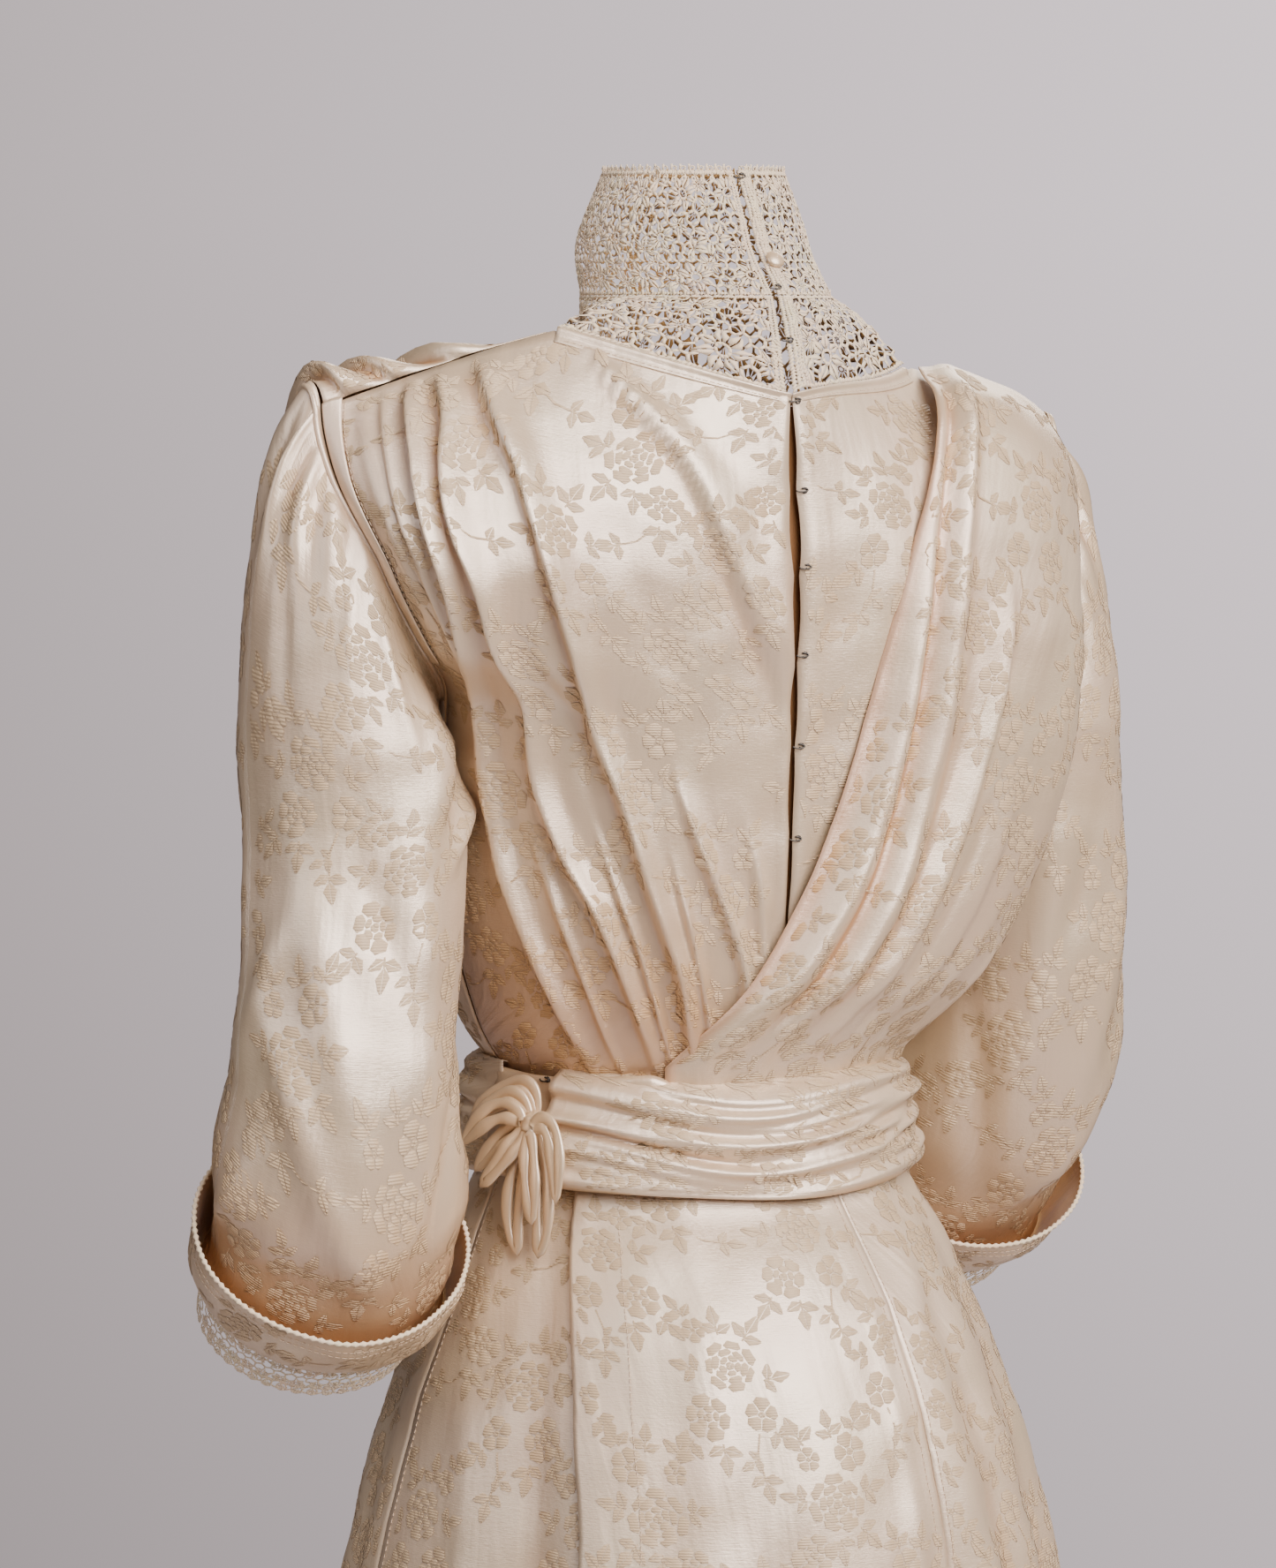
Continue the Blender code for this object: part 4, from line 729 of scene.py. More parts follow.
frontCreases = table(
    "v0 v1 high wide steep path",
    (-0.1, 0.2, 0.006, 0.07, 4.0, [(0.0, 0.9), (0.3, 0.87)]),
    (-0.1, 0.2, 0.006, 0.07, 4.0, [(0.0, 0.74), (0.3, 0.71)]),
    (-0.1, 0.2, 0.007, 0.07, 4.0, [(0.0, 0.57), (0.3, 0.55)]),
    (-0.1, 0.9, 0.0105, 0.075, 4.0, [(0.0, 0.9), (0.3, 0.87), (0.9, 0.8)]),
    (-0.1, 1.1, 0.011, 0.08, 4.0, [(0.0, 0.74), (0.4, 0.7), (1.0, 0.6)]),
    (-0.1, 1.1, 0.0095, 0.07, 3.6, [(0.0, 0.57), (0.5, 0.52), (1.0, 0.42)]),
    (0.3, 1.1, 0.004, 0.04, 2.4, [(0.3, 0.3), (1.0, 0.22)]),
    (0.5, 1.1, -0.002, 0.02, 1.0, [(0.5, 0.12), (1.0, 0.09)]),
    (0.5, 1.1, 0.003, 0.03, 1.0, [(0.6, 0.92), (1.0, 0.9)]),
)
hookLevels = (0.012, 0.134, 0.243, 0.364, 0.500, 0.630)
hookStep = 0.1225
facingBehind = 0.0060


def bodiceSheet(name, rows, side, flow, creases, cols, count, rests, opening=0.0):
    # The bodice's form plus creases and dents along its normals, held flat at the seams. At the back
    # opening the edge stands 0.75 of the opening out at each hook and 1.65 of it between the hooks.
    line, v = np.meshgrid(np.linspace(0.0, sideShare, cols), np.linspace(0.004, 1.0, count))
    bow = np.abs(np.sin(pi * (v - hookLevels[0]) / hookStep)) * (1 - softStep((v - 0.60) / 0.2))
    u = flowShare(line, v, flow) + opening * (0.75 + bow * 0.9) * np.exp(-(line / 0.020) ** 2)
    base = bodicePoints(u, v, rows, side)
    away = outward(base)
    if rows is frontRows:
        hold = softStep((v - 0.002) / 0.022) * softStep((0.985 - u) / 0.03)
    else:
        hold = softStep(v / 0.05) * softStep((0.965 - u) / 0.04)
    height = ridges(line, v, creases) * waistPress(v) + softDents(base)
    lip = (0.0012 + 0.0010 * bow) * np.exp(-((line - 0.010) / 0.012) ** 2) if opening else 0.0
    points = base + away * (height * hold + lip + 0.0001)[..., None]
    shade = foldShade(points, away)
    if side > 0 and rows is backRows:
        # The pleats at the left back lie in deeper shade towards the waist.
        shade = np.maximum(shade, 0.55 * softStep((v - 0.55) / 0.40) * softStep((line - 0.05) / 0.3))
    return clothPiece(name, points, away, satin, "stretched", rests, False, shade)


backLeft = bodiceSheet("bodice_back_left", backRows, 1, backFlow, leftCreases, 126, 112,
                       ["yoke_lace_left", "waistband_left"], 0.0021)
backRight = bodiceSheet("bodice_back_right", backRows, -1, plainFlow, rightCreases, 62, 84,
                        ["yoke_lace_right", "sash"], 0.0012)
frontLeft = bodiceSheet("bodice_front_left", frontRows, 1, frontFlow, frontCreases, 66, 74,
                        ["yoke_lace_left", "sash"])
frontRight = bodiceSheet("bodice_front_right", frontRows, -1, frontFlow, frontCreases[3:], 66, 74,
                         ["yoke_lace_right", "sash"])
for cloth, across, down, mirror in ((backLeft, 0.020, 0.050, 1), (backRight, 0.045, 0.020, -1),
                                    (frontLeft, 0.030, 0.070, -1), (frontRight, 0.050, 0.090, 1)):
    weaveFigure(cloth, across, down, mirror)

# The facing under the opening, sewn to the right half and coloured all over in painted shade, so the slit
# shows shaded silk and no daylight.
u, v = np.meshgrid(np.linspace(-0.050, 0.050, 15), np.linspace(0.006, 0.93, 80))
base = bodicePoints(np.abs(u), v, backRows, 1)
base[..., 0] *= np.where(u < 0, -1.0, 1.0)
away = outward(base)
facing = clothPiece("back_facing", base - away * facingBehind, away, shadedReverse, "stretched",
                    ["bodice_back_right"], False, np.ones(u.shape), False)
print("bodice made")


drapeRows = table(
    "s ix iy iz ox oy oz turn",
    (0.0, -0.103, 0.051, -0.031, -0.197, 0.017, -0.066, 90),
    (0.06, -0.095, 0.074, -0.043, -0.196, 0.026, -0.082, 90),
    (0.14, -0.084, 0.092, -0.066, -0.193, 0.035, -0.102, 90),
    (0.28, -0.066, 0.106, -0.11, -0.186, 0.051, -0.14, 91),
    (0.44, -0.05, 0.112, -0.162, -0.181, 0.065, -0.18, 94),
    (0.6, -0.033, 0.113, -0.216, -0.172, 0.068, -0.232, 94),
    (0.75, -0.011, 0.112, -0.272, -0.157, 0.064, -0.28, 96),
    (0.88, 0.02, 0.107, -0.326, -0.134, 0.054, -0.33, 98),
    (1.0, 0.056, 0.084, -0.37, -0.104, 0.026, -0.374, 98),
)
overLeft = 0.0045


def backDepth(x, z):
    # How far behind the axis the plain back lies at a place across and a height.
    read = reader(-column(backRows, "cz"), backRows, -z)
    wide, edge, full = read("x"), read("y"), read("full")
    share = np.clip(np.abs(x) / wide, 0.0, 1.0)
    depth = edge + (read("cy") - edge) * (1 - share ** (2 / full)) ** (full / 2)
    return np.where(np.abs(x) < wide, depth, 0.0)


def drapePoints(u, v):
    # Rows swing from the inner fold (ix iy iz), round the back and past the outer edge (ox oy oz).
    # Low down each row is pushed out to the plain back where it would lie inside it.
    read = reader(column(drapeRows, "s"), drapeRows, v)
    turn = np.radians(read("turn")) * u
    x = read("ix") + (read("ox") - read("ix")) * power(np.sin(turn), 0.86)
    y = read("oy") + (read("iy") - read("oy")) * power(np.cos(turn), 0.86)
    z = read("iz") + (read("oz") - read("iz")) * np.clip(u * 1.3, 0.0, 1.0) ** 1.2
    low = softStep((-z - 0.26) / 0.06)
    y = y + low * np.maximum(backDepth(x, z) - y, 0.0)
    return np.stack([x, y, z], axis=-1)


drapeCreases = table(
    "v0 v1 high wide steep path",
    (-0.2, 1.2, 0.008, 0.024, 1.0, [(0.0, 0.004), (0.155, 0.006), (0.39, 0.028), (0.605, 0.05),
      (0.74, 0.052), (1.0, 0.042)]),
    (-0.1, 1.2, -0.003, 0.012, 1.0, [(0.0, 0.03), (0.155, 0.036), (0.275, 0.05), (0.39, 0.064),
      (0.605, 0.09), (0.74, 0.098), (1.0, 0.086)]),
    (-0.2, 1.2, 0.009, 0.026, 0.7, [(0.0, 0.06), (0.155, 0.066), (0.39, 0.098), (0.605, 0.128),
      (0.845, 0.134), (1.0, 0.118)]),
    (0.34, 1.2, -0.0022, 0.022, 1.0, [(0.4, 0.19), (0.6, 0.205), (0.85, 0.19), (1.0, 0.17)]),
    (0.3, 1.2, 0.0054, 0.034, 2.0, [(0.5, 0.28), (0.7, 0.262), (1.0, 0.226)]),
    (0.62, 1.2, -0.0022, 0.016, 1.0, [(0.6, 0.35), (0.8, 0.325), (1.0, 0.29)]),
    (0.62, 1.2, 0.0026, 0.044, 1.8, [(0.62, 0.44), (0.8, 0.4), (1.0, 0.35)]),
    (0.76, 1.2, 0.0016, 0.034, 1.0, [(0.7, 0.56), (1.0, 0.44)]),
    (0.8, 1.2, 0.0026, 0.03, 1.0, [(0.72, 0.7), (1.0, 0.6)]),
    (0.15, 0.8, -0.0014, 0.08, 1.0, [(0.2, 0.56), (0.7, 0.5)]),
)

# The drape's form stands on the right back by the lap and one wall, with a rolled inner edge, and its
# creases and dents lie along its normals.
u, v = np.meshgrid(np.linspace(0.0, 1.0, 135), np.linspace(0.0, 1.0, 100))
base = drapePoints(u, v)
away = outward(base)
overLift = overLeft * softStep((v - 0.62) / 0.2) * (1 - softStep(u / 0.6))
overLift = overLift * (1 - 0.5 * softStep((v - 0.90) / 0.10))
lap = seamGap + (lapStand - seamGap) * softStep(v / 0.10) * softStep((1.0 - v) / 0.06)
stand = lap + wall + 0.0030 * softStep(u / 0.08) * waistPress(v) + overLift
settle = 0.25 + 0.75 * softStep(u / 0.045 + 0.25 * softStep((v - 0.75) / 0.2))
height = ridges(u, v, drapeCreases) * waistPress(v) * (0.15 + 0.85 * softStep(v / 0.10))
points = base + away * (stand * settle + np.maximum(height, -0.0012) + softDents(base))[..., None]
# Painted shade in the folds, and a band of it along the inner edge, in the valley beside the plain strip.
shade = np.maximum(foldShade(points, away), 0.7 * (1 - softStep(u / 0.022)) * softStep(v / 0.2))
# Its last 12 mm go on down between the waistband and the sash.
under = [points[-1:] - away[-1:] * 0.0013 * k + np.array([0.0, 0.0, -0.0030]) * k for k in range(1, 5)]
points = np.concatenate([points] + under)
away, shade = (np.concatenate([grid] + [grid[-1:]] * 4) for grid in (away, shade))
drape = clothPiece("surplice_back_right", points, away, satin, "draped", ["bodice_back_right", "sash"],
                   False, shade)
weaveFigure(drape, 0.030, 0.035)
print("drape made")


def binding(name, side, last):
    # Piping, then a flat turned edge: height over its base = 0.8 mm + 1.3 mm * sin(pi across the upper half).
    u, v = np.meshgrid(np.linspace(0.0, last, 60), np.linspace(0.0, 0.0132, 13))
    base = bodicePoints(u, v, backRows, side)
    away = outward(base)
    points = base + away * (0.0008 + 0.0013 * np.sin(pi * np.clip(v / 0.0070, 0.0, 1.0)))[..., None]
    clothPiece("neckline_binding_" + name, points, away, satin, "stretched", ["bodice_back_" + name])
    low = bodicePoints(np.linspace(0.01, last * 0.99, 200), np.full(200, 0.0105), backRows, side)
    return low + outward(low) * 0.0009


stitchLines = [binding("left", 1, neckShare * 0.985), binding("right", -1, neckShare * 0.93)]

# The folded band at the left armhole, on the back's outermost twentieth: 2.2 mm high, 3.1 mm in its middle.
u, v = np.meshgrid(np.linspace(0.946, 0.994, 9), np.linspace(0.004, 0.40, 70))
base = bodicePoints(u, v, backRows, 1)
away = outward(base)
points = base + away * (0.0022 + 0.0009 * np.sin(pi * (u - 0.946) / 0.048))[..., None]
clothPiece("armhole_band_left", points, away, satin, "stretched", ["bodice_back_left"])
low = bodicePoints(np.full(200, 0.944), np.linspace(0.01, 0.385, 200), backRows, 1)
stitchLines.append(low + outward(low) * 0.0009)
print("bindings made")


sleeve = {"gap": 0.0012, "headEnd": 0.30, "headEase": 0.004, "headPuff": 0.014, "endFlare": 0.0030,
          "cols": 106}
cuff = {"height": 0.036, "flare": 0.010, "step": 0.0044, "fold": 0.001, "cols": 110, "rows": 18}
cuffLace = {"top": -0.010, "reach": 0.031, "taper": 0.16, "wide": 0.352, "flower": 0.0088, "row": 0.0118,
            "scallop": 0.0080}
# Rings down the sleeve from the share s: x y on the left arm's middle line, rx ry on the right's, then
# height, half sizes and the pitch in degrees by which the arm points forward.
sleeveRings = table(
    "s x y rx ry z wide deep pitch",
    (0.3, 0.193, 0.007, 0.193, 0.005, -0.212, 0.05, 0.058, 0),
    (0.45, 0.196, 0.014, 0.196, 0.005, -0.265, 0.048, 0.053, -2),
    (0.6, 0.203, 0.027, 0.199, 0.001, -0.32, 0.049, 0.053, 4),
    (0.74, 0.208, 0.038, 0.2, -0.013, -0.37, 0.054, 0.056, 18),
    (0.86, 0.2085, 0.037, 0.198, -0.038, -0.414, 0.0632, 0.058, 32),
    (0.95, 0.2065, 0.0255, 0.1955, -0.062, -0.449, 0.0665, 0.057, 41),
    (1.0, 0.205, 0.0052, 0.195, -0.0868, -0.475, 0.06, 0.052, 43),
)


def armhole(turn, side, grow):
    # turn 0 is the shoulder tip, half a turn is the underarm, behind first and then in front.
    # The points come back as on the left side, so that the sleeve is mirrored once, at its end.
    behind = np.clip(turn * 2, 0.0, 1.0) * 0.46
    before = np.clip((1 - turn) * 2, 0.0, 1.0) * 0.46
    one = np.ones_like(turn)
    back = bodicePoints(one, behind, backRows, side)
    front = bodicePoints(one, before, frontRows, side)
    points = np.where((turn <= 0.5)[..., None], back, front)
    points[..., 0] = points[..., 0] * side + grow
    return points


def ringPoints(turn, row, side, grow=0.0, slide=0.0):
    # An oval across the arm: wide * cos(turn) outward from the body and deep * sin(turn) back, so that
    # turn 0 points outward and a quarter turn points back.
    angle = turn * 2 * pi
    pitch = math.radians(row["pitch"])
    along = Vector((0.0, -math.sin(pitch), -math.cos(pitch)))
    back = Vector((0.0, math.cos(pitch), -math.sin(pitch)))
    wide = row["wide"] + grow
    deep = row["deep"] + grow
    x = row["x"] + np.cos(angle) * wide + along.x * slide
    y = row["y"] + np.sin(angle) * deep * back.y + along.y * slide
    z = row["z"] + np.sin(angle) * deep * back.z + along.z * slide
    return np.stack([x * side, y, z], axis=-1)


def sleeveRow(s, side):
    # One ring of the sleeve; the right arm's middle line has its own columns, rx and ry.
    read = reader(column(sleeveRings, "s"), sleeveRings, s)
    row = {name: float(read(name)) for name in ("z", "wide", "deep", "pitch")}
    for name in ("x", "y"):
        row[name] = float(read(name if side > 0 else "r" + name))
    return row


def sleevePoints(turn, s, side):
    # Above the first ring a curve swings out from the armhole and down to that ring, as
    # (1 - t)^2 of its start, 2 t (1 - t) of its middle and t^2 of its end. Below it each row is a ring.
    first = sleeveRow(sleeve["headEnd"], side)
    points = np.zeros(turn.shape + (3,))
    for i in range(turn.shape[0]):
        if s[i, 0] < sleeve["headEnd"]:
            t = s[i, 0] / sleeve["headEnd"]
            start = armhole(turn[i], side, sleeve["gap"])
            end = ringPoints(turn[i], first, 1)
            puff = sleeve["headPuff"] * np.maximum(np.cos(turn[i] * 2 * pi), 0.0)
            middle = np.stack([np.maximum(end[:, 0], start[:, 0] + sleeve["headEase"] + puff),
                               (start[:, 1] + end[:, 1]) / 2,
                               start[:, 2] * 0.80 + end[:, 2] * 0.20], axis=-1)
            points[i] = start * (1 - t)**2 + middle * 2 * t * (1 - t) + end * t**2
        else:
            flare = sleeve["endFlare"] * softStep((s[i, 0] - 0.94) / 0.06)
            points[i] = ringPoints(turn[i], sleeveRow(s[i, 0], side), 1, flare)
    points[..., 0] *= side
    return points


sleeveCreases = table(
    "turn s lean high wide long",
    (0.16, 0.62, 0.3, 0.0045, 0.035, 0.16), (0.3, 0.6, 0.1, 0.005, 0.04, 0.2),
    (0.33, 0.34, -0.2, 0.006, 0.04, 0.1), (0.22, 0.86, 0.25, 0.005, 0.05, 0.1),
    (0.8, 0.66, -0.3, 0.005, 0.045, 0.16), (0.41, 0.405, -0.9, 0.0065, 0.02, 0.05),
    (0.395, 0.355, -0.9, -0.0045, 0.022, 0.05), (0.6, 0.585, 0.3, 0.007, 0.018, 0.045),
    (0.55, 0.64, -0.2, -0.004, 0.022, 0.06), (0.43, 0.4, -0.1, 0.003, 0.018, 0.12),
    (0.27, 0.22, 0.2, 0.0026, 0.014, 0.09), (0.2, 0.16, -0.15, 0.0022, 0.012, 0.07),
    (0.08, 0.2, 0.1, -0.0024, 0.016, 0.09), (0.98, 0.45, 0.0, 0.0022, 0.02, 0.2),
    (0.12, 0.74, 0.6, 0.005, 0.03, 0.08), (0.05, 0.6, -0.5, 0.004, 0.03, 0.09),
    (0.26, 0.56, 0.45, -0.004, 0.03, 0.09), (0.2, 0.86, 0.7, 0.004, 0.026, 0.06),
    (0.02, 0.88, -0.6, 0.004, 0.024, 0.06), (0.36, 0.8, -0.55, -0.0046, 0.026, 0.11),
    (0.5, 0.88, -0.2, 0.004, 0.024, 0.08), (0.7, 0.5, 0.3, -0.0034, 0.026, 0.08),
    (0.88, 0.82, 0.25, 0.0032, 0.026, 0.1),
)


def sleeveCreaseHeight(turn, s):
    # height = high * exp(-(distance along / long)^2 - (turn from its leaning line / wide)^2), and then
    # 12 soft and 19 fine gathers on the outer side of the head.
    height = np.zeros_like(turn)
    for fold in sleeveCreases:
        along = (s - fold["s"]) / fold["long"]
        across = (turn - fold["turn"] - fold["lean"] * (s - fold["s"]) + 0.5) % 1.0 - 0.5
        height += fold["high"] * np.exp(-along**2 - (across / fold["wide"]) ** 2)
    head = np.maximum(np.cos(turn * 2 * pi), 0.0)
    soft = 0.0028 * np.cos(turn * 2 * pi * 12) * np.exp(-((s - 0.10) / 0.07) ** 2)
    fine = 0.0009 * np.cos(turn * 2 * pi * 19 + 2.6 * np.sin(turn * 20)) * np.exp(-((s - 0.06) / 0.06) ** 2)
    return height + soft * head + fine * head**0.5


# From the left arm towards the body and back.
innerWay = np.array([-0.891, 0.454, 0.0])


def joined(cloth, rows=None):
    # A tube's sheet with its first column again at the end, so that the figure runs across the join.
    return {**cloth, **{name: closeRing(cloth[name])[:rows] for name in ("points", "normals", "shade")}}


def sleeveSheet(side, name, across, down):
    # The sleeve's form plus creases and dents along its normals, tucked in under the cuff's fold.
    turn, s = np.meshgrid(np.arange(sleeve["cols"]) / sleeve["cols"], np.linspace(0.0, 1.0, 96))
    base = sleevePoints(turn, s, side)
    away = -gridNormals(base, tube=True) * side
    hold = softStep(s / 0.05) * softStep((1.0 - s) / 0.06)
    height = sleeveCreaseHeight(turn, s) + softDents(base)
    tuck = 0.0055 * softStep((s - 0.86) / 0.08) * softStep((1.0 - s) / 0.015)
    points = base + away * (height * hold - tuck)[..., None]
    if side > 0:
        # The left sleeve's inner side swells towards the body.
        inner = np.clip(away @ innerWay, 0.0, 1.0) ** 1.2
        points = points + away * (0.0095 * inner * np.exp(-((s - 0.50) / 0.20) ** 2))[..., None]
    # Painted shade, darker and warmer, down the lower sleeve and most at its end by the cuff.
    end = 0.35 * softStep((s - 0.78) / 0.16) + 0.5 * softStep((s - 0.95) / 0.05)
    shade = np.maximum(foldShade(points, away, 36, True), end)
    cloth = clothPiece("sleeve_" + name, points, away, satin, "stretched",
                       ["bodice_back_" + name, "bodice_front_" + name], True, shade)
    weaveFigure(joined(cloth), across, down, side)
    return points[1]


sleeveHeads = [sleeveSheet(1, "left", 0.000, 0.060), sleeveSheet(-1, "right", 0.035, 0.010)]
print("sleeves made")


def cuffPoints(turn, t, side, row):
    # t runs from the rim, 0, down to the fold, 1, and on to 1.1 in under the sleeve's end.
    # It stands out by step + flare * (1 - t)^0.8 + 1 mm * sin(pi t).
    under = np.clip((t - 1) / 0.1, 0.0, 1.0)
    t = np.minimum(t, 1.0)
    slide = -cuff["height"] * (1 - t) + cuff["fold"] + 0.0012 * np.sin(pi * under)
    grow = cuff["step"] + cuff["flare"] * (1 - t) ** 0.8 + 0.0010 * np.sin(pi * t)
    grow = grow - (cuff["step"] + 0.0020) * under
    return np.array([ringPoints(turn[i], row, side, grow[i, 0], slide[i, 0]) for i in range(len(turn))])


def cuffSheet(side, name):
    # The cuff's form plus a dent = 1.3 mm * sin(5 turns round) + 0.6 mm * sin(11 turns round).
    row = sleeveRow(1.0, side)
    shares = np.append(np.linspace(0.0, 1.0, cuff["rows"]), (1.04, 1.07, 1.1))
    turn, t = np.meshgrid(np.arange(cuff["cols"]) / cuff["cols"], shares)
    base = cuffPoints(turn, t, side, row)
    away = unit(base - base.mean(axis=1, keepdims=True))
    if side > 0:
        # The left cuff's inner side is pressed in against the sleeve.
        inner = np.clip(away @ innerWay, 0.0, 1.0) ** 1.5
        base = base - away * (0.0100 * inner * np.clip(1 - t, 0.0, 1.0))[..., None]
    dent = 0.0013 * np.sin(turn * 2 * pi * 5 + 3 * t) + 0.0006 * np.sin(turn * 2 * pi * 11 - 4 * t)
    points = base + away * (dent * np.sin(pi * np.clip(t * 0.9 + 0.05, 0, 1)))[..., None]
    cloth = clothPiece("cuff_" + name, points, away, satin, "stretched", ["sleeve_" + name], True)
    weaveFigure(joined(cloth, cuff["rows"]), 0.06, -0.02, side)
    for at in (0.16, 0.30):
        line = points[int(round(at * (cuff["rows"] - 1)))]
        stitchLines.append(np.concatenate([line, line[:1]]) + np.concatenate([away[3], away[3][:1]]) * 0.0004)
    return points


cuffs = [cuffSheet(1, "left"), cuffSheet(-1, "right")]
print("cuffs made")


sash = {"end": 62, "stand": 0.0106, "flare": 0.0100, "band": 0.0089}
sashFolds = table(
    "t high",
    (0.1, 0.0062), (0.36, 0.008), (0.62, 0.007), (0.88, 0.0078),
)


def waistPoints(angle, z, grow):
    # An oval, (wide + grow) * sin(angle) across and (deep + grow) * cos(angle) back, where angle 0 is
    # the centre back and turns towards the wearer's left.
    depth = np.where(np.cos(angle) > 0, waistBack, waistFront) + grow
    x = np.sin(angle) * (waistWide + grow)
    y = np.cos(angle) * depth
    return np.stack([x, y, z], axis=-1)


def sashProfile(t, angle):
    # Soft rolls that run round the waist and wander a little up and down: each is
    # high * exp(-((t - its place) / 0.105)^2).
    wander = 0.05 * np.sin(angle * 2.0 + 0.6)
    height = np.zeros_like(t)
    for fold in sashFolds:
        height += fold["high"] * np.exp(-((t - fold["t"] - wander) / 0.105) ** 2)
    return height


bowSizes = {"turn": 64, "z": -0.398, "stand": 0.0184, "lean": 0.16, "knot": 0.0055, "lift": 0.0068,
            "rouleau": 0.0030}
bowLoops = table(
    "name mid tip out wide",
    ("upper_1", (-0.012, 0.0165), (-0.04, 0.002), 0.0024, 0.0044),
    ("upper_2", (-0.016, 0.011), (-0.038, -0.004), 0.0066, 0.0044),
    ("upper_3", (-0.02, 0.004), (-0.039, -0.013), 0.0108, 0.0055),
    ("lower_1", (-0.017, -0.0085), (-0.033, -0.026), 0.005, 0.005),
    ("lower_2", (-0.011, -0.015), (-0.025, -0.032), 0.0094, 0.0045),
    ("hanging_1", (-0.0085, -0.036), (-0.004, -0.064), 0.004, 0.006),
    ("hanging_2", (0.0045, -0.024), (0.008, -0.047), 0.0102, 0.005),
    ("hanging_3", (0.011, -0.038), (0.011, -0.063), 0.0062, 0.0058),
    ("right", (0.0165, -0.004), (0.022, -0.036), 0.011, 0.0048),
)


def bowFrame():
    # The knot's place on the sash, and its directions across, up and out.
    turn = math.radians(bowSizes["turn"])
    knot = waistPoints(np.array(turn), np.array(bowSizes["z"]), bowSizes["stand"])
    out = np.array([math.sin(turn), math.cos(turn), 0.0])
    across = np.array([-math.cos(turn), math.sin(turn), 0.0])
    up = unit(np.array([0.0, 0.0, 1.0]) - bowSizes["lean"] * out)
    return knot, across, up, out


def sashSheet():
    # Out from the waist: four rolls, finer creases that wander along them, and puffs that fade at both edges.
    first, last = math.radians(sash["end"]), math.radians(sash["end"] - 338)
    levels = np.concatenate([[-0.03, -0.015], np.linspace(0.0, 1.0, 42)])
    turn, t = np.meshgrid(np.linspace(first, last, 184), levels)
    tuck = 0.0080 * softStep(-t / 0.03)
    t = np.maximum(t, 0.0)
    sag = np.exp(-((turn - 0.26) / 0.52) ** 2)
    top = beltTop + 0.004 * np.sin(turn + 0.4) - 0.004 * sag
    low = beltBottom + 0.003 * np.sin(turn + 1.2) - 0.006 * np.exp(-((turn + 0.15) / 0.70) ** 2)
    crease = (0.0022 * np.cos(2 * pi * (t * 4.6 - 0.9 * sag + 0.45 * np.sin(turn * 1.7 + 0.5)))
              + 0.0014 * np.cos(2 * pi * (t * 8.3 - 1.2 * sag - 0.6 * np.sin(turn * 2.6 + 1.9)) + 1.0))
    fade = 0.35 + 0.65 * np.sin(turn * 2.3 + 5 * t) ** 2
    puff = 0.0022 * np.sin(turn * 4 + 4 * t) * np.sin(pi * t)
    roll = 0.0016 + 0.66 * sashProfile(t - 0.14 * sag, turn)
    roll = roll - 0.0065 * np.exp(-((t / 0.07) ** 2)) - 0.0030 * np.exp(-(((1 - t) / 0.05) ** 2))
    crease = crease * fade * np.sin(pi * np.clip(t, 0.04, 0.96))
    grow = sash["stand"] + roll + sash["flare"] * t + crease + puff
    grow = grow - (grow - sash["band"] - 0.0016) * softStep(1 - (turn - last) / 0.55) - tuck
    points = waistPoints(turn, top + (low - top) * t - 0.2 * tuck, grow)
    away = sideways(points)
    shade = foldShade(np.swapaxes(points, 0, 1), np.swapaxes(away, 0, 1), 7).T
    cloth = clothPiece("sash", points, away, satin, "folded", ["bodice_front_left", "skirt_front"],
                       False, shade)
    weaveFigure(cloth, 0.0, 0.030)


sashSheet()


def waistbandSheet():
    # Flat against the waist, from its wavy top to the sash's foot, with a rolled upper edge.
    angle, t = np.meshgrid(np.radians(np.linspace(6, 88, 60)), np.linspace(0.0, 1.0, 18))
    top = waist + 0.009 + 0.002 * np.sin(angle * 4) - 0.016 * softStep((0.62 - angle) / 0.30)
    roll = 0.0007 * np.sin(pi * np.clip(t / 0.12, 0, 1)) + 0.0006 * np.sin(angle * 22 + 3 * t)
    points = waistPoints(angle, top + (beltBottom + 0.004 - top) * t, sash["band"] + sash["flare"] * t + roll)
    clothPiece("waistband_left", points, sideways(points), plain, "stretched", ["bodice_back_left"])


waistbandSheet()


def tubeRings(path, radius, sides=10, closed=False, flat=1.0, out=None):
    # Rings round a path: the frame turns with the path, and "flat" squeezes it along "out".
    path = np.asarray(path, dtype=float)
    heading = np.gradient(path, axis=0)
    if closed:
        heading = np.roll(path, -1, axis=0) - np.roll(path, 1, axis=0)
    heading = unit(heading)
    up = np.tile(np.asarray((0.13, 0.31, 0.94) if out is None else out, dtype=float), (len(path), 1))
    side = unit(np.cross(heading, up))
    up = unit(np.cross(side, heading))
    around = np.arange(sides) * 2 * pi / sides
    radius = np.broadcast_to(np.asarray(radius, dtype=float), (len(path),))[:, None, None]
    ring = (np.cos(around)[None, :, None] * side[:, None, :]
            + flat * np.sin(around)[None, :, None] * up[:, None, :])
    return path[:, None, :] + ring * radius


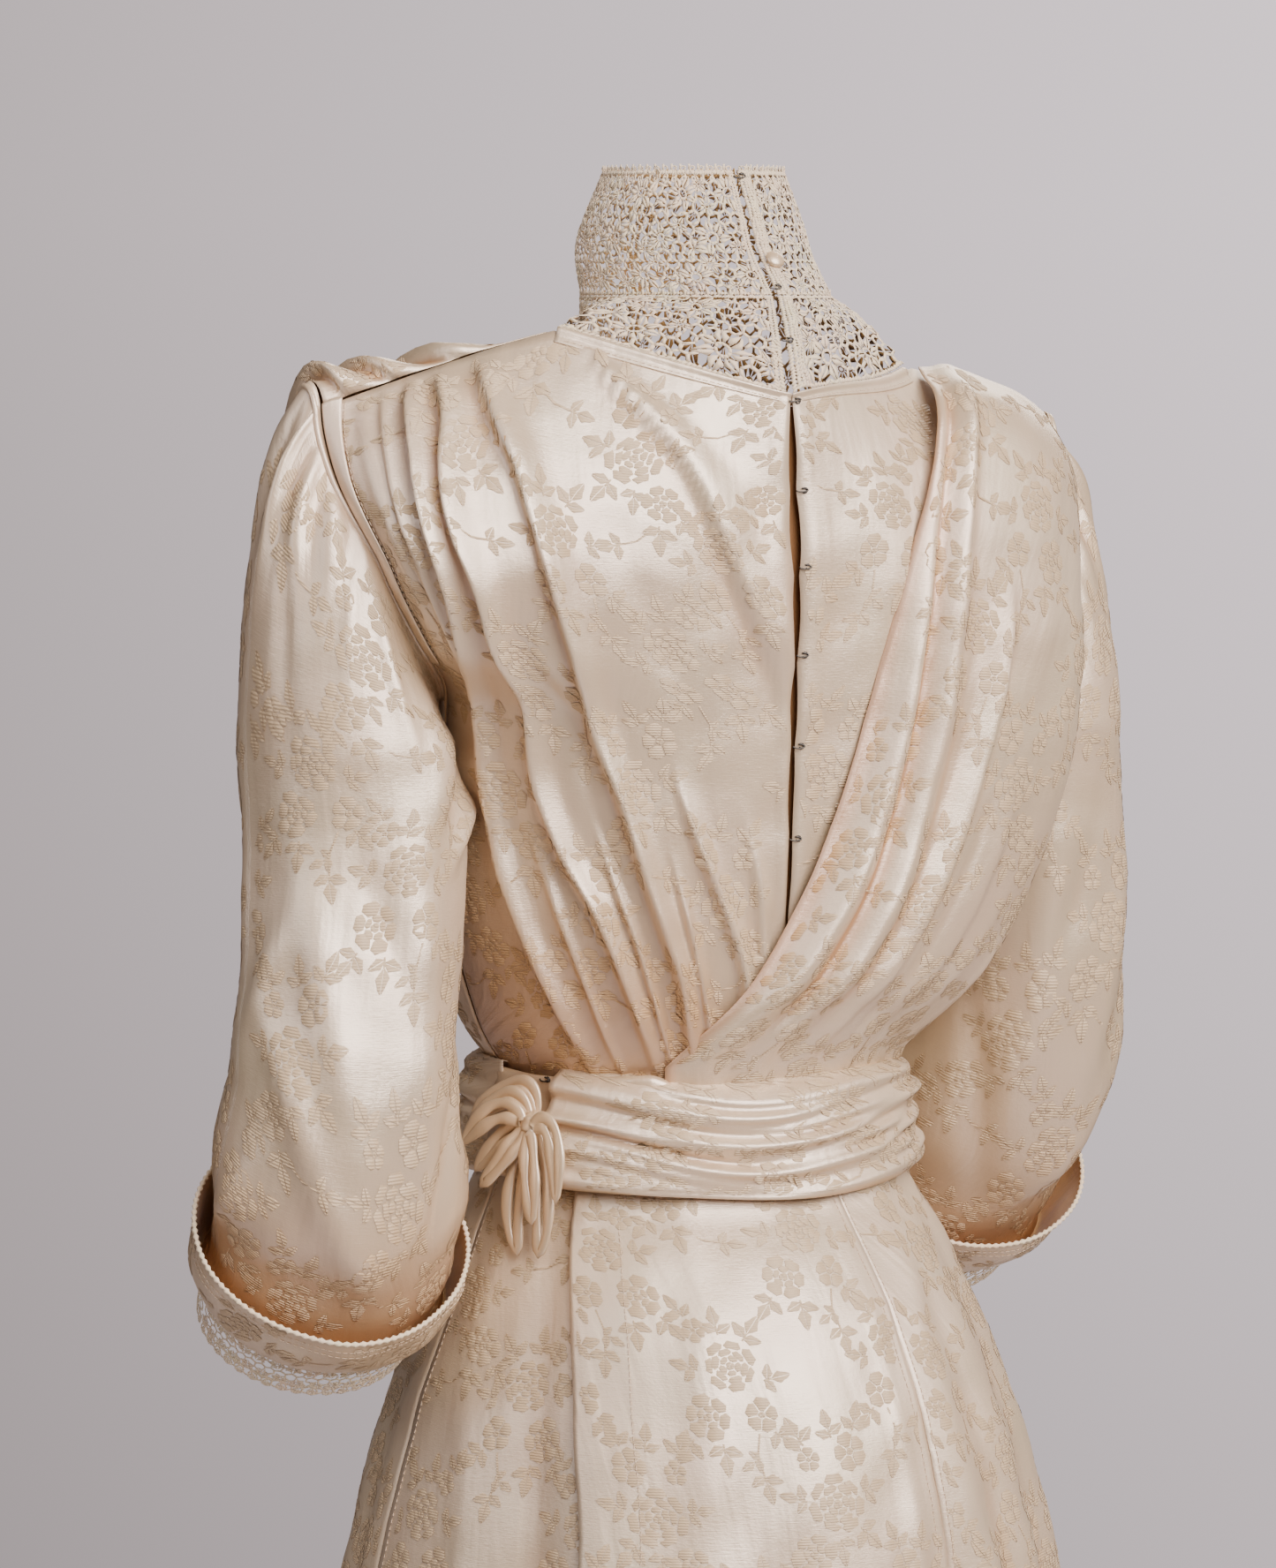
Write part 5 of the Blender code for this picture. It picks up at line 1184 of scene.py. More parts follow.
def tubeMesh(paths, radius, sides=10, closed=False, flat=1.0, out=None):
    # All tubes of one piece in one list of points and faces, with closed ends.
    points, faces, first = [], [], 0
    for path in paths:
        rings = tubeRings(path, radius, sides, closed, flat, out)
        count = len(rings)
        wrap = np.concatenate([rings, rings[:1]]) if closed else rings
        quads = np.array(gridFaces(len(wrap), sides, True))
        quads = np.where(quads >= count * sides, quads - count * sides, quads) + first
        faces += quads.tolist()
        if not closed:
            faces.append([first + k for k in range(sides)])
            faces.append([first + (count - 1) * sides + k for k in reversed(range(sides))])
        points.append(rings.reshape(-1, 3))
        first += count * sides
    return np.concatenate(points), faces


def bow():
    # Rouleau loops: each runs out along one side of its petal-shaped solid and back along the other.
    knot, across, up, out = bowFrame()
    for loop in bowLoops:
        mid, tip = np.array(loop["mid"]), np.array(loop["tip"])
        start = mid / np.linalg.norm(mid) * (bowSizes["knot"] - 0.0012)
        bend = 2 * mid - (start + tip) / 2
        t = np.linspace(0.0, 1.0, 26)[:, None]
        line = start * (1 - t) ** 2 + bend * 2 * t * (1 - t) + tip * t**2
        heading = unit((bend - start) * (1 - t) + (tip - bend) * t)
        cross = np.stack([-heading[:, 1], heading[:, 0]], axis=1)
        apart = loop["wide"] - bowSizes["rouleau"] + 0.0009
        apart = apart * np.sin(pi * np.clip(t, 0.0, 1.0) ** 0.9) ** 0.55 + 0.0004
        rise = 0.0009 * np.sin(pi * t[:, 0])
        there = np.concatenate([line + cross * apart, (line - cross * apart)[::-1][1:]])
        lift = loop["out"] + np.concatenate([rise, (rise - 0.0004)[::-1][1:]])
        path = knot + there[:, :1] * across + there[:, 1:] * up + lift[:, None] * out
        node = "bow_loop_" + loop["name"]
        share = np.linspace(0.0, 1.0, len(path))
        wrinkle = 0.16 * np.sin(23 * share + 9 * loop["wide"] * 1000)
        swell = bowSizes["rouleau"] * (1 + wrinkle - 0.25 * np.exp(-((share - 0.5) / 0.08) ** 2))
        points, faces = tubeMesh([path], swell, 14, False, 0.50, out)
        trimPiece(node + "_rouleau", points, faces, plain, node=node)
    # The knot: a ball with wraps round it, radius = knot * (1 + small waves).
    turn, tilt, faces = ballGrid(24, 40, 0.02, True)
    wraps = 1 + 0.055 * np.sin(6 * tilt + 2.0 * np.sin(turn)) + 0.03 * np.sin(3 * turn + 4 * tilt)
    ball = np.stack([np.sin(tilt) * np.cos(turn), np.cos(tilt), np.sin(tilt) * np.sin(turn)], axis=-1)
    ball = ball * (bowSizes["knot"] * 1.02 * wraps)[..., None]
    points = knot + ball[..., :1] * across + ball[..., 1:2] * up + (ball[..., 2:] + bowSizes["lift"]) * out
    trimPiece("bow_knot_wrapped", points, faces, plain, node="bow_knot")


bow()
# A beaded cord of lace along each cuff's rim, four rings of it to a column of the cuff.
beads = np.arange(4 * cuff["cols"])
rims = []
for grid in cuffs:
    ring = np.concatenate([grid[0], grid[0, :1]])
    cols = np.arange(cuff["cols"] + 1)
    rims.append(np.stack([np.interp(beads / 4, cols, ring[:, axis]) for axis in range(3)], axis=1))
points, faces = tubeMesh(rims, 0.0011 * (1 + 0.4 * np.sin(beads * pi / 2)), 6, True)
trimPiece("cuff_rim_crochet", points, faces, lace)
points, faces = tubeMesh(sleeveHeads, 0.0015, 8, True)
trimPiece("armhole_piping", points, faces, satin, uv=points[:, :2])
print("sash, bow and armhole piping made")


skirtRows = table(
    "z wide back front",
    (skirtTop, 0.0985, 0.0875, 0.0855), (-0.436, 0.112, 0.102, 0.092), (-0.46, 0.124, 0.124, 0.098),
    (-0.5, 0.14, 0.152, 0.104), (-0.56, 0.162, 0.175, 0.114), (-0.64, 0.182, 0.192, 0.126),
    (-0.8, 0.206, 0.213, 0.15), (-1.05, 0.242, 0.247, 0.19), (hem, 0.3, 0.304, 0.248),
)
skirtFolds = table(
    "angle low wide",
    (-62, 0.03, 8), (-30, 0.014, 9), (6, 0.018, 9), (42, 0.024, 8), (78, 0.02, 8), (112, 0.026, 9),
    (150, 0.018, 10), (196, 0.02, 10), (236, 0.026, 9), (270, 0.02, 8),
)


def skirtPoints(angle, z, grow):
    # An oval whose half widths come from the table, with soft folds that deepen towards the hem.
    read = reader(-column(skirtRows, "z"), skirtRows, -z)
    fall = np.clip((skirtTop - z) / (skirtTop - hem), 0.0, 1.0) ** 1.2
    ripple = np.zeros_like(z)
    for fold in skirtFolds:
        gap = (np.degrees(angle) - fold["angle"] + 180) % 360 - 180
        ripple += fold["low"] * fall * np.exp(-(gap / fold["wide"]) ** 2)
    x = np.sin(angle) * (read("wide") + grow + ripple)
    y = np.cos(angle) * (np.where(np.cos(angle) > 0, read("back"), read("front")) + grow + ripple)
    return np.stack([x, y, z], axis=-1)


# Each gore runs between two angles from the centre back, in degrees; then how far it stands out, its
# columns, and where its woven figure starts.
gores = table(
    "name from to grow cols across down mirror",
    ("skirt_back", -15.3, 54.0, 0.0026, 69, 0.01, 0.03, 1),
    ("skirt_side_left", 49.0, 85.8, 0.0, 36, 0.04, 0.11, -1),
    ("skirt_front", 86.1, 273.9, 0.0, 128, 0.0, 0.06, 1),
    ("skirt_side_right", 274.2, 344.4, 0.0026, 60, 0.03, 0.09, -1),
)

# Lines are degrees here, and levels run from the waist, 0, to the hem, 1.
skirtCreases = table(
    "v0 v1 high wide steep path",
    (-0.1, 1.4, 0.0052, 3.6, 0.6, [(0.0, -33.0), (0.088, -31.5), (0.145, -23.0), (0.205, -22.0),
      (0.27, -24.0), (1.0, -26.0)]),
    (-0.05, 1.4, 0.0036, 4.6, 1.0, [(0.0, -42.0), (0.1, -40.5), (0.25, -38.5), (1.0, -38.0)]),
    (-0.05, 1.4, -0.0034, 3.2, 1.0, [(0.0, -30.0), (0.3, -31.0), (1.0, -32.0)]),
    (-0.1, 1.4, 0.0024, 2.0, 1.0, [(0.0, -14.0), (0.165, -10.0), (0.26, -10.0), (1.0, -9.0)]),
    (0.02, 1.4, -0.0024, 6.0, 1.0, 14.0), (-0.1, 0.45, 0.0022, 4.0, 1.0, 26.0),
    (-0.1, 1.4, -0.006, 4.4, 1.0, [(0.0, 62.0), (0.185, 58.0), (0.26, 54.0), (1.0, 52.0)]),
    (-0.1, 1.4, 0.0036, 4.0, 1.0, [(0.0, 78.0), (0.145, 74.5), (0.265, 67.0), (1.0, 64.0)]),
    (-0.05, 1.4, -0.004, 4.0, 1.0, -50.0), (-0.05, 1.4, -0.0036, 4.6, 1.0, -74.0),
    (0.05, 1.4, -0.0036, 4.4, 1.0, 98.0), (-0.05, 1.4, 0.0036, 5.4, 1.0, 128.0),
    (0.05, 1.4, -0.0034, 5.0, 1.0, 168.0), (-0.05, 0.7, 0.0026, 3.6, 1.0, 182.0),
    (0.0, 1.4, -0.0036, 5.0, 1.0, 214.0), (0.05, 1.4, 0.0034, 4.4, 1.0, 252.0),
)
underLap = 38.0
placketEdge = np.array([(0.0, 55.0), (0.09, 54.5), (0.185, 49.5), (0.255, 45.5), (1.0, 43.0)])
stitchedSeam = np.array([(0.0, 43.5), (0.068, 42.8), (0.16, 40.0), (0.253, 36.0), (1.0, 33.5)])


def skirtSurface(gore, angle, fall):
    # The gore's own form, with creases that fade out at its edges and grow towards the hem.
    z = skirtTop + (hem - skirtTop) * fall**1.15
    grow = np.full_like(z, gore["grow"])
    degrees = np.degrees(angle)
    if gore["name"] == "skirt_side_right":
        grow = gore["grow"] * (degrees - gore["from"]) / (gore["to"] - gore["from"])
    crease = ridges(degrees, fall, skirtCreases) + ridges(degrees - 360.0, fall, skirtCreases)
    crease = crease * softStep(fall / 0.08) * (0.5 + 1.6 * fall)
    if gore["name"] != "skirt_side_left":
        crease = crease * np.clip((degrees - gore["from"]) / 3.0, 0.0, 1.0)
    away = unit(np.stack([np.sin(angle), np.cos(angle), np.zeros_like(z)], axis=-1))
    points = skirtPoints(angle, z, grow)
    return points + away * (crease + 1.6 * softDents(points) * softStep(fall / 0.06))[..., None], away


def skirtSheet(gore):
    # One gore between its two edges. The back one ends in the lapped placket, 1 mm higher, and the left
    # one starts under that lap.
    share, fall = np.meshgrid(np.linspace(0.0, 1.0, gore["cols"]), np.linspace(0.0, 1.0, 92))
    first, last = gore["from"], gore["to"]
    if gore["name"] == "skirt_back":
        first, last = gore["from"] - 0.4, follow(*placketEdge.T, fall)
    if gore["name"] == "skirt_side_left":
        first = underLap
    points, away = skirtSurface(gore, np.radians(first + (last - first) * share), fall)
    if gore["name"] == "skirt_back":
        points = points + away * (0.0010 * softStep((share - 0.90) / 0.06) + 0.0006)[..., None]
    shade = foldShade(points, away, 31) * 0.6
    cloth = clothPiece(gore["name"], points, away, satin, "hung", ["sash", "waistband_left"], False, shade)
    weaveFigure(cloth, gore["across"], gore["down"], gore["mirror"])
    return points, away


skirt = {gore["name"]: skirtSheet(gore) for gore in gores}
print("skirt made")

# Seams: stitching beside the lapped placket edge, on the stitched seam and on the two side seams.
for name, col in (("skirt_back", 2), ("skirt_side_right", -2), ("skirt_side_left", -2)):
    points, away = skirt[name]
    stitchLines.append(points[2:, col] + away[2:, col] * 0.0003)
fall = np.linspace(0.03, 1.0, 300)
line, away = skirtSurface(gores[0], np.radians(follow(*stitchedSeam.T, fall)), fall)
stitchLines.append(line + away * 0.0010)


def stitches(name, lines, length, gap, radius):
    # Each stitch is a short straight thread, in an even run along the line.
    paths = []
    for line in lines:
        run = np.concatenate([[0.0], np.cumsum(np.linalg.norm(np.diff(line, axis=0), axis=1))])
        starts = np.arange(0.001, run[-1] - length, length + gap)
        for start in starts:
            at = start + length * np.array([0.0, 1.0])
            paths.append(np.stack([np.interp(at, run, line[:, axis]) for axis in range(3)], axis=1))
    points, faces = tubeMesh(paths, radius, 4)
    trimPiece(name, points, faces, thread)
    print("stitches", len(paths))


stitches("machine_stitching", stitchLines, 0.0024, 0.0011, 0.00022)


collarRings = table(
    "t z cy wide deep",
    (0.0, collarTop, 0.006, 0.046, 0.043), (0.5, 0.034, 0.004, 0.056, 0.063),
    (1.0, collarBase, 0.018, 0.059, 0.073),
)
collar = {"neckTurn": math.radians(62), "slit": 0.0002, "inset": 0.0016, "cell": 0.0054,
          "scallop": 0.0056}
button = {"radius": 0.0050, "flat": 0.5, "turn": math.radians(7), "at": 0.72}


def collarPoints(turn, t, side):
    # An oval round the neck: x = wide * sin(turn), y = cy + deep * cos(turn), read by the height t.
    read = reader(column(collarRings, "t"), collarRings, t)
    x = np.sin(turn) * read("wide") + collar["slit"]
    y = read("cy") + np.cos(turn) * read("deep")
    points = np.stack([x * side, y, read("z")], axis=-1)
    centre = np.stack([np.zeros_like(x), read("cy"), read("z")], axis=-1)
    return points, unit(centre - points)


def yokePoints(turn, t, side):
    # From the collar's base out to just inside the neckline: base * (1 - t) + edge * t, arched by 4 mm.
    start, inward = collarPoints(turn, np.ones_like(t), side)
    behind = np.clip(turn / collar["neckTurn"], 0.0, 1.0) * neckShare
    before = np.clip((pi - turn) / (pi - collar["neckTurn"]), 0.0, 1.0) * neckShare
    back = bodicePoints(behind, np.zeros_like(t), backRows, side)
    front = bodicePoints(before, np.zeros_like(t), frontRows, side)
    edge = np.where((turn <= collar["neckTurn"])[..., None], back, front)
    middle = np.stack([0.0 * t, 0.0 * t + 0.02, edge[..., 2]], axis=-1)
    edge = edge + unit(middle - edge) * collar["inset"]
    start[..., 2] -= seamGap
    share = t[..., None]
    points = start * (1 - share) + edge * share
    points[..., 2] += 0.004 * np.sin(pi * t)
    down = np.stack([0.0 * t, 0.0 * t, -0.8 * t], axis=-1)
    return points, unit(inward * (1 - 0.35 * share) + down)


# Crochet lace: flowers with open centres over the solid's gaps, smaller flowers and leaves, a net of bars.
def ribbon(a, b, wide):
    a, b = np.asarray(a, dtype=float), np.asarray(b, dtype=float)
    along = unit(b - a)
    side = np.array([-along[1], along[0]]) * wide / 2
    return np.stack([a - side, b - side, b + side, a + side])


def netBars(wide, tall, cell, cord, blocked):
    # A six-sided net whose knots are pushed about unevenly; no bar runs under a flower.
    shapes = []
    for j in range(int(tall / (cell * 0.866)) + 2):
        for i in range(int(wide / cell) + 2):
            knot = np.array([i * cell + (j % 2) * cell / 2, j * cell * 0.866])
            for turn in (30, 150, 270):
                tip = knot + polar(turn, cell * 0.577)
                middle = (knot + tip) / 2
                if all(math.hypot(middle[0] - x, middle[1] - y) > size for x, y, size in blocked):
                    shapes.append(ribbon(knot, tip, cord))
    return shapes


def ringShapes(at, low, high, count):
    # A flat ring from the inner radius low to the outer one high, in short pieces.
    shapes = []
    for k in range(count):
        a, b = 360.0 * k / count, 360.0 * (k + 1) / count
        shapes.append(np.array(at) + np.stack([polar(a, low), polar(a, high), polar(b, high), polar(b, low)]))
    return shapes


def loopShapes(at, turn, long, wide, cord, count=10):
    # A crocheted loop: a cord that runs out and back round a small open middle.
    angle = np.linspace(0.0, 2 * pi, count + 1)
    rise = wide / 2 * np.sin(angle) * (0.75 - 0.25 * np.cos(angle))
    outer = np.stack([long * (0.5 - 0.5 * np.cos(angle)), rise], axis=1)
    centre = np.array([long * 0.52, 0.0])
    inner = centre + (outer - centre) * (1 - cord / (wide / 2))
    shapes = [np.stack([outer[k], outer[k + 1], inner[k + 1], inner[k]]) for k in range(count)]
    return [turned(shape, turn, at) for shape in shapes]


def flowerShapes(at, low, high, petals, spin, full=0.92, count=6):
    # Solid petals, each with a bare line down its middle, round a ring.
    shapes = ringShapes(at, low * 0.62, low, 6 if count < 6 else 10)
    wide = full * 2 * pi * (low + high) / 2 / petals
    for k in range(petals):
        turn = spin + 360.0 * k / petals
        shapes += leafShapes(np.array(at) + polar(turn, low * 0.90), high - low * 0.90, wide, turn, count)
    return shapes


def braidShapes(a, b, wide, step):
    # Small slanted stitches side by side along a line.
    a, b = np.array(a, dtype=float), np.array(b, dtype=float)
    count = int(np.linalg.norm(b - a) / step)
    along = (b - a) / count
    lean = unit(along) * step * 0.4
    across = np.array([-unit(along)[1], unit(along)[0]]) * wide / 2
    return [ribbon(a + along * (k + 0.5) - across - lean, a + along * (k + 0.5) + across + lean, step * 0.80)
            for k in range(count)]


def fillPlaces(wide, tall, pitch, blocked, seed):
    # Staggered places one pitch apart, pushed about by up to 0.16 of it, clear of what is there.
    places = []
    for j in range(int(tall / (pitch * 0.86)) + 1):
        for i in range(int(wide / pitch) + 1):
            x = (i + 0.5 * (j % 2) + 0.16 * math.sin(2.3 * i + 4.1 * j + seed)) * pitch
            y = (j + 0.5 + 0.16 * math.sin(3.7 * i + 1.9 * j + seed)) * pitch * 0.86
            if all(math.hypot(x - a, y - b) > size for a, b, size in blocked):
                places.append((x, y))
    return places


def crochet(name, shapes, wide, tall, place, flip, spare=0.0):
    # Flat shapes inside the strip, pushed about a little, then set on the form.
    kept = []
    for shape in shapes:
        if -0.0002 < shape[:, 0].min() and shape[:, 0].max() < wide + 0.0006:
            if -spare < shape[:, 1].min() and shape[:, 1].max() < tall + 0.0006:
                after = np.roll(shape, -1, axis=0)
                turning = (shape[:, 0] * after[:, 1] - shape[:, 1] * after[:, 0]).sum() > 0
                kept.append(shape[::-1] if flip == turning else shape)
    sizes = [len(shape) for shape in kept]
    flat = np.concatenate(kept)
    x, y = flat[:, 0], flat[:, 1]
    inner = softStep(x / 0.006) * softStep((wide - x) / 0.006)
    inner = inner * softStep(y / 0.006) * softStep((tall - y) / 0.006)
    x = x + 0.0008 * inner * np.sin(430 * y + 210 * x + 1.0) * np.sin(150 * x)
    y = y + 0.0008 * inner * np.sin(390 * x - 160 * y + 0.4) * np.sin(170 * y + 2.0)
    faces = [list(range(start, start + size)) for start, size in zip(runLengths(sizes), sizes)]
    piece = makeMesh(name + "_crochet", place(x, y), faces, lace, flat)
    piece.data.materials.append(laceInnerShade)
    thicken(piece, laceThick)
    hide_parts(name)
    print("lace", name, len(kept), "shapes")


def laceStrip(side, hand, name, form, wide, tall, counts, hole, seed, scallops):
    # The rows of large flowers stand over the solid's gaps; small ones, leaves and net fill in between.
    shapes = []
    across, down = counts
    blocked = []
    for j in range(down):
        for i in range(across):
            shift = 0.25 if j % 2 else -0.25
            size = hole * (1.0 + 0.12 * math.sin(3.1 * i + 1.7 * j))
            at = (wide * (i + 0.5 + shift) / across, tall * (j + 0.5) / down)
            shapes += flowerShapes(at, size * 0.62, size * 1.95, 7, 41.0 * i + 23.0 * j, 0.80)
            blocked.append((*at, size * 1.70))
    places = fillPlaces(wide, tall, 0.0118, [(x, y, size + 0.0026) for x, y, size in blocked], seed + side)
    for k, (x, y) in enumerate(places):
        if k % 3 == 1:
            for turn, size in ((0, 0.0078), (115, 0.0066), (235, 0.0070)):
                shapes += leafShapes((x, y), size, size * 0.52, turn + 47.0 * k)
            blocked.append((x, y, 0.0030))
        else:
            size = 0.0056 if k % 3 else 0.0048
            shapes += flowerShapes((x, y), 0.0012, size, 6 if k % 3 else 5, 31.0 * k, 0.78)
            blocked.append((x, y, size * 0.85))
    shapes += netBars(wide, tall, collar["cell"], 0.0012, blocked)
    shapes += braidShapes((0.0, tall - 0.0009), (wide, tall - 0.0009), 0.0013, 0.0015)
    shapes += braidShapes((0.0, 0.0010), (wide, 0.0010), 0.0015, 0.0015)
    band = 0.0078 if side < 0 else 0.0030
    for x in np.arange(0.0009, band, 0.0019):
        shapes += braidShapes((x, 0.0), (x, tall), 0.0015, 0.0013)
    shapes += braidShapes((wide - 0.0012, 0.0), (wide - 0.0012, tall), 0.0018, 0.0013)
    for k in range(int(wide / collar["scallop"]) if scallops else 0):
        x = (k + 0.5) * collar["scallop"]
        shapes += loopShapes((x, 0.0006), -90, 0.0030, 0.0052, 0.0012, 8)
        shapes += ringShapes((x, 0.0040), 0.0006, 0.0015, 6)

    def place(x, y):
        points, inward = form((x + 0.0012) / (wide + 0.0012) * pi, np.clip(y / tall, 0.0, 1.0), side)
        points[:, 2] -= np.minimum(y, 0.0)
        fold = 0.0024 * np.sin(pi * np.clip(x / 0.0090, 0.0, 1.0)) if side < 0 else 0.0008 * (x < 0.004)
        knobs = 0.00035 * np.sin(900 * x) * np.sin(870 * y)
        return points - inward * (fold + knobs)[:, None]

    crochet(name + hand, shapes, wide, tall, place, side < 0, 0.0032)


laceStrips = table(
    "name form wide tall counts hole seed scallops",
    ("collar_lace_", collarPoints, 0.176, 0.062, (7, 3), 0.0042, 0, True),
    ("yoke_lace_", yokePoints, 0.190, 0.044, (7, 2), 0.0046, 3, False),
)
for side, hand in ((1, "left"), (-1, "right")):
    for strip in laceStrips:
        laceStrip(side, hand, **strip)
print("collar and yoke made")


def laceCuff(side, name):
    # The lace under-cuff: flowers and net that end in scallops below the fold.
    row = sleeveRow(1.0, side)
    wide, tall = cuffLace["wide"], cuffLace["reach"] - cuffLace["top"]
    pitch, step = cuffLace["flower"], cuffLace["scallop"]
    shapes = []
    blocked = []
    for k in range(int(wide / pitch)):
        for j in range(3):
            x, y = (k + 0.5 + 0.5 * (j % 2)) * pitch, 0.007 + j * cuffLace["row"]
            shapes += flowerShapes((x, y), 0.0012, 0.0042, 6, 17.0 * k + 40.0 * j, 0.92, 5)
            blocked.append((x, y, 0.0034))
    shapes += netBars(wide, tall - 0.007, collar["cell"], 0.0009, blocked)
    for k in range(int(wide / step)):
        x = (k + 0.5) * step
        shapes += loopShapes((x, tall - 0.0082), 90, 0.0078, 0.0078, 0.0014, 8)
        shapes += ringShapes((x, tall - 0.0038), 0.0007, 0.0016, 4)
    for y in (0.0010, tall - 0.0080):
        shapes += braidShapes((0.0, y), (wide, y), 0.0014, 0.0016)

    def place(x, y):
        slide = y + cuffLace["top"]
        grow = sleeve["endFlare"] - wall - seamGap - cuffLace["taper"] * np.abs(slide) - 0.0003
        knots = zip(x / wide, grow, slide)
        return np.array([ringPoints(np.array([a]), row, side, b, c)[0] for a, b, c in knots])

    crochet("lace_cuff_" + name, shapes, wide, tall, place, side > 0)


for side, name in ((1, "left"), (-1, "right")):
    laceCuff(side, name)
print("lace cuffs made")


# Hooks and eyes: a bent steel hook and a small eye at each place down the back.
def hookPaths(at, across, down, out):
    # The hook is a narrow loop with its end bent back; the eye is a small open ring beside it.
    t = np.linspace(0.0, 1.0, 14)
    hook = [at + across * (0.0030 * x) + down * (0.0010 * y) + out * (0.0008 + 0.0011 * lift)
            for x, y, lift in zip(np.cos(t * pi * 1.5), np.sin(t * pi * 1.5), np.sin(t * pi))]
    middle = at - across * 0.0018
    eye = [middle + across * (0.0013 * math.cos(a)) + down * (0.0013 * math.sin(a)) + out * 0.0007
           for a in np.linspace(0.4, 5.9, 14)]
    return [np.array(hook), np.array(eye)]


hookWire = 0.00038
waistHook = {"turn": math.radians(66), "z": -0.3785, "stand": 0.0008}
hooks = []
right, down = np.array([1.0, 0.0, 0.0]), np.array([0.0, 0.0, -1.0])
for v in hookLevels:
    spot = bodicePoints(np.array([0.004]), np.array([v]), backRows, -1)[0]
    away = outward(spot)
    hooks += hookPaths(spot + away * 0.0008, right, down, away)
for t in (0.04, 0.93):
    spot, inward = collarPoints(np.array([0.02]), np.array([t]), -1)
    hooks += hookPaths(spot[0] - inward[0] * 0.0006, right, down, -inward[0])
spot, inward = yokePoints(np.array([0.02]), np.array([0.55]), -1)
hooks += hookPaths(spot[0] - inward[0] * 0.0006, right, down, -inward[0])
turn = waistHook["turn"]
spot = waistPoints(np.array(turn), np.array(waistHook["z"]), sash["band"] + waistHook["stand"])
across = np.array([math.cos(turn), -math.sin(turn), 0.0])
out = np.array([math.sin(turn), math.cos(turn), 0.0])
hooks += hookPaths(spot, across, down, unit(out))
points, faces = tubeMesh(hooks, hookWire, 7)
trimPiece("hooks_and_eyes", points, faces, steel)

# The covered button keeps its solid's form with a finer skin and gathered dimples.
turns = np.array([button["turn"], button["turn"] + 0.02, button["turn"]])
levels = np.array([button["at"], button["at"], button["at"] + 0.02])
spots = collarPoints(turns, levels, -1)[0]
across, down = unit(spots[1] - spots[0]), unit(spots[2] - spots[0])
out = unit(np.cross(down, across))
out = out if out[1] > 0 else -out
centre = spots[0] + out * (button["radius"] * button["flat"] + seamGap)
turn, tilt, faces = ballGrid(20, 36, 0.03)
size = button["radius"] * (1 + 0.02 * np.cos(12 * turn) * np.sin(tilt) ** 4)
ball = [np.sin(tilt) * np.cos(turn), np.sin(tilt) * np.sin(turn), button["flat"] * np.cos(tilt)]
ball = np.stack(ball, axis=-1) * size[..., None]
points = centre + ball[..., :1] * across + ball[..., 1:2] * down + ball[..., 2:] * out
trimPiece("collar_button_covered", points, faces, plain, node="collar_button")
print("hooks and button made")

# The camera stands behind the gown and a little to its left; "side" points to the picture's right.
# Sizes in metres; focal and picture are in the photo's pixels, and the sensor is in millimetres.
room = {"turn": math.radians(153), "light": 0.25, "seen": 1.22, "floor": 2.3, "away": 2.6, "left": 0.025,
        "aim": -0.240, "focal": 5850, "picture": 1776, "sensor": 36.0}
back = np.array([math.sin(room["turn"]), -math.cos(room["turn"]), 0.0])
side = np.array([-back[1], back[0], 0.0])
floor = bpy.data.meshes.new("floor")
rim = np.radians(np.arange(96) * 3.75)
spots = [(room["floor"] * math.sin(a), -room["floor"] * math.cos(a), hem - 0.004) for a in rim]
floor.from_pydata(spots, [], [tuple(range(len(rim)))])
floor.materials.append(makeMaterial("pale matt floor", "B4AEAF", 0.9, {"Specular IOR Level": 0.2})[0])
ground = bpy.data.objects.new("floor", floor)
bpy.context.scene.collection.objects.link(ground)

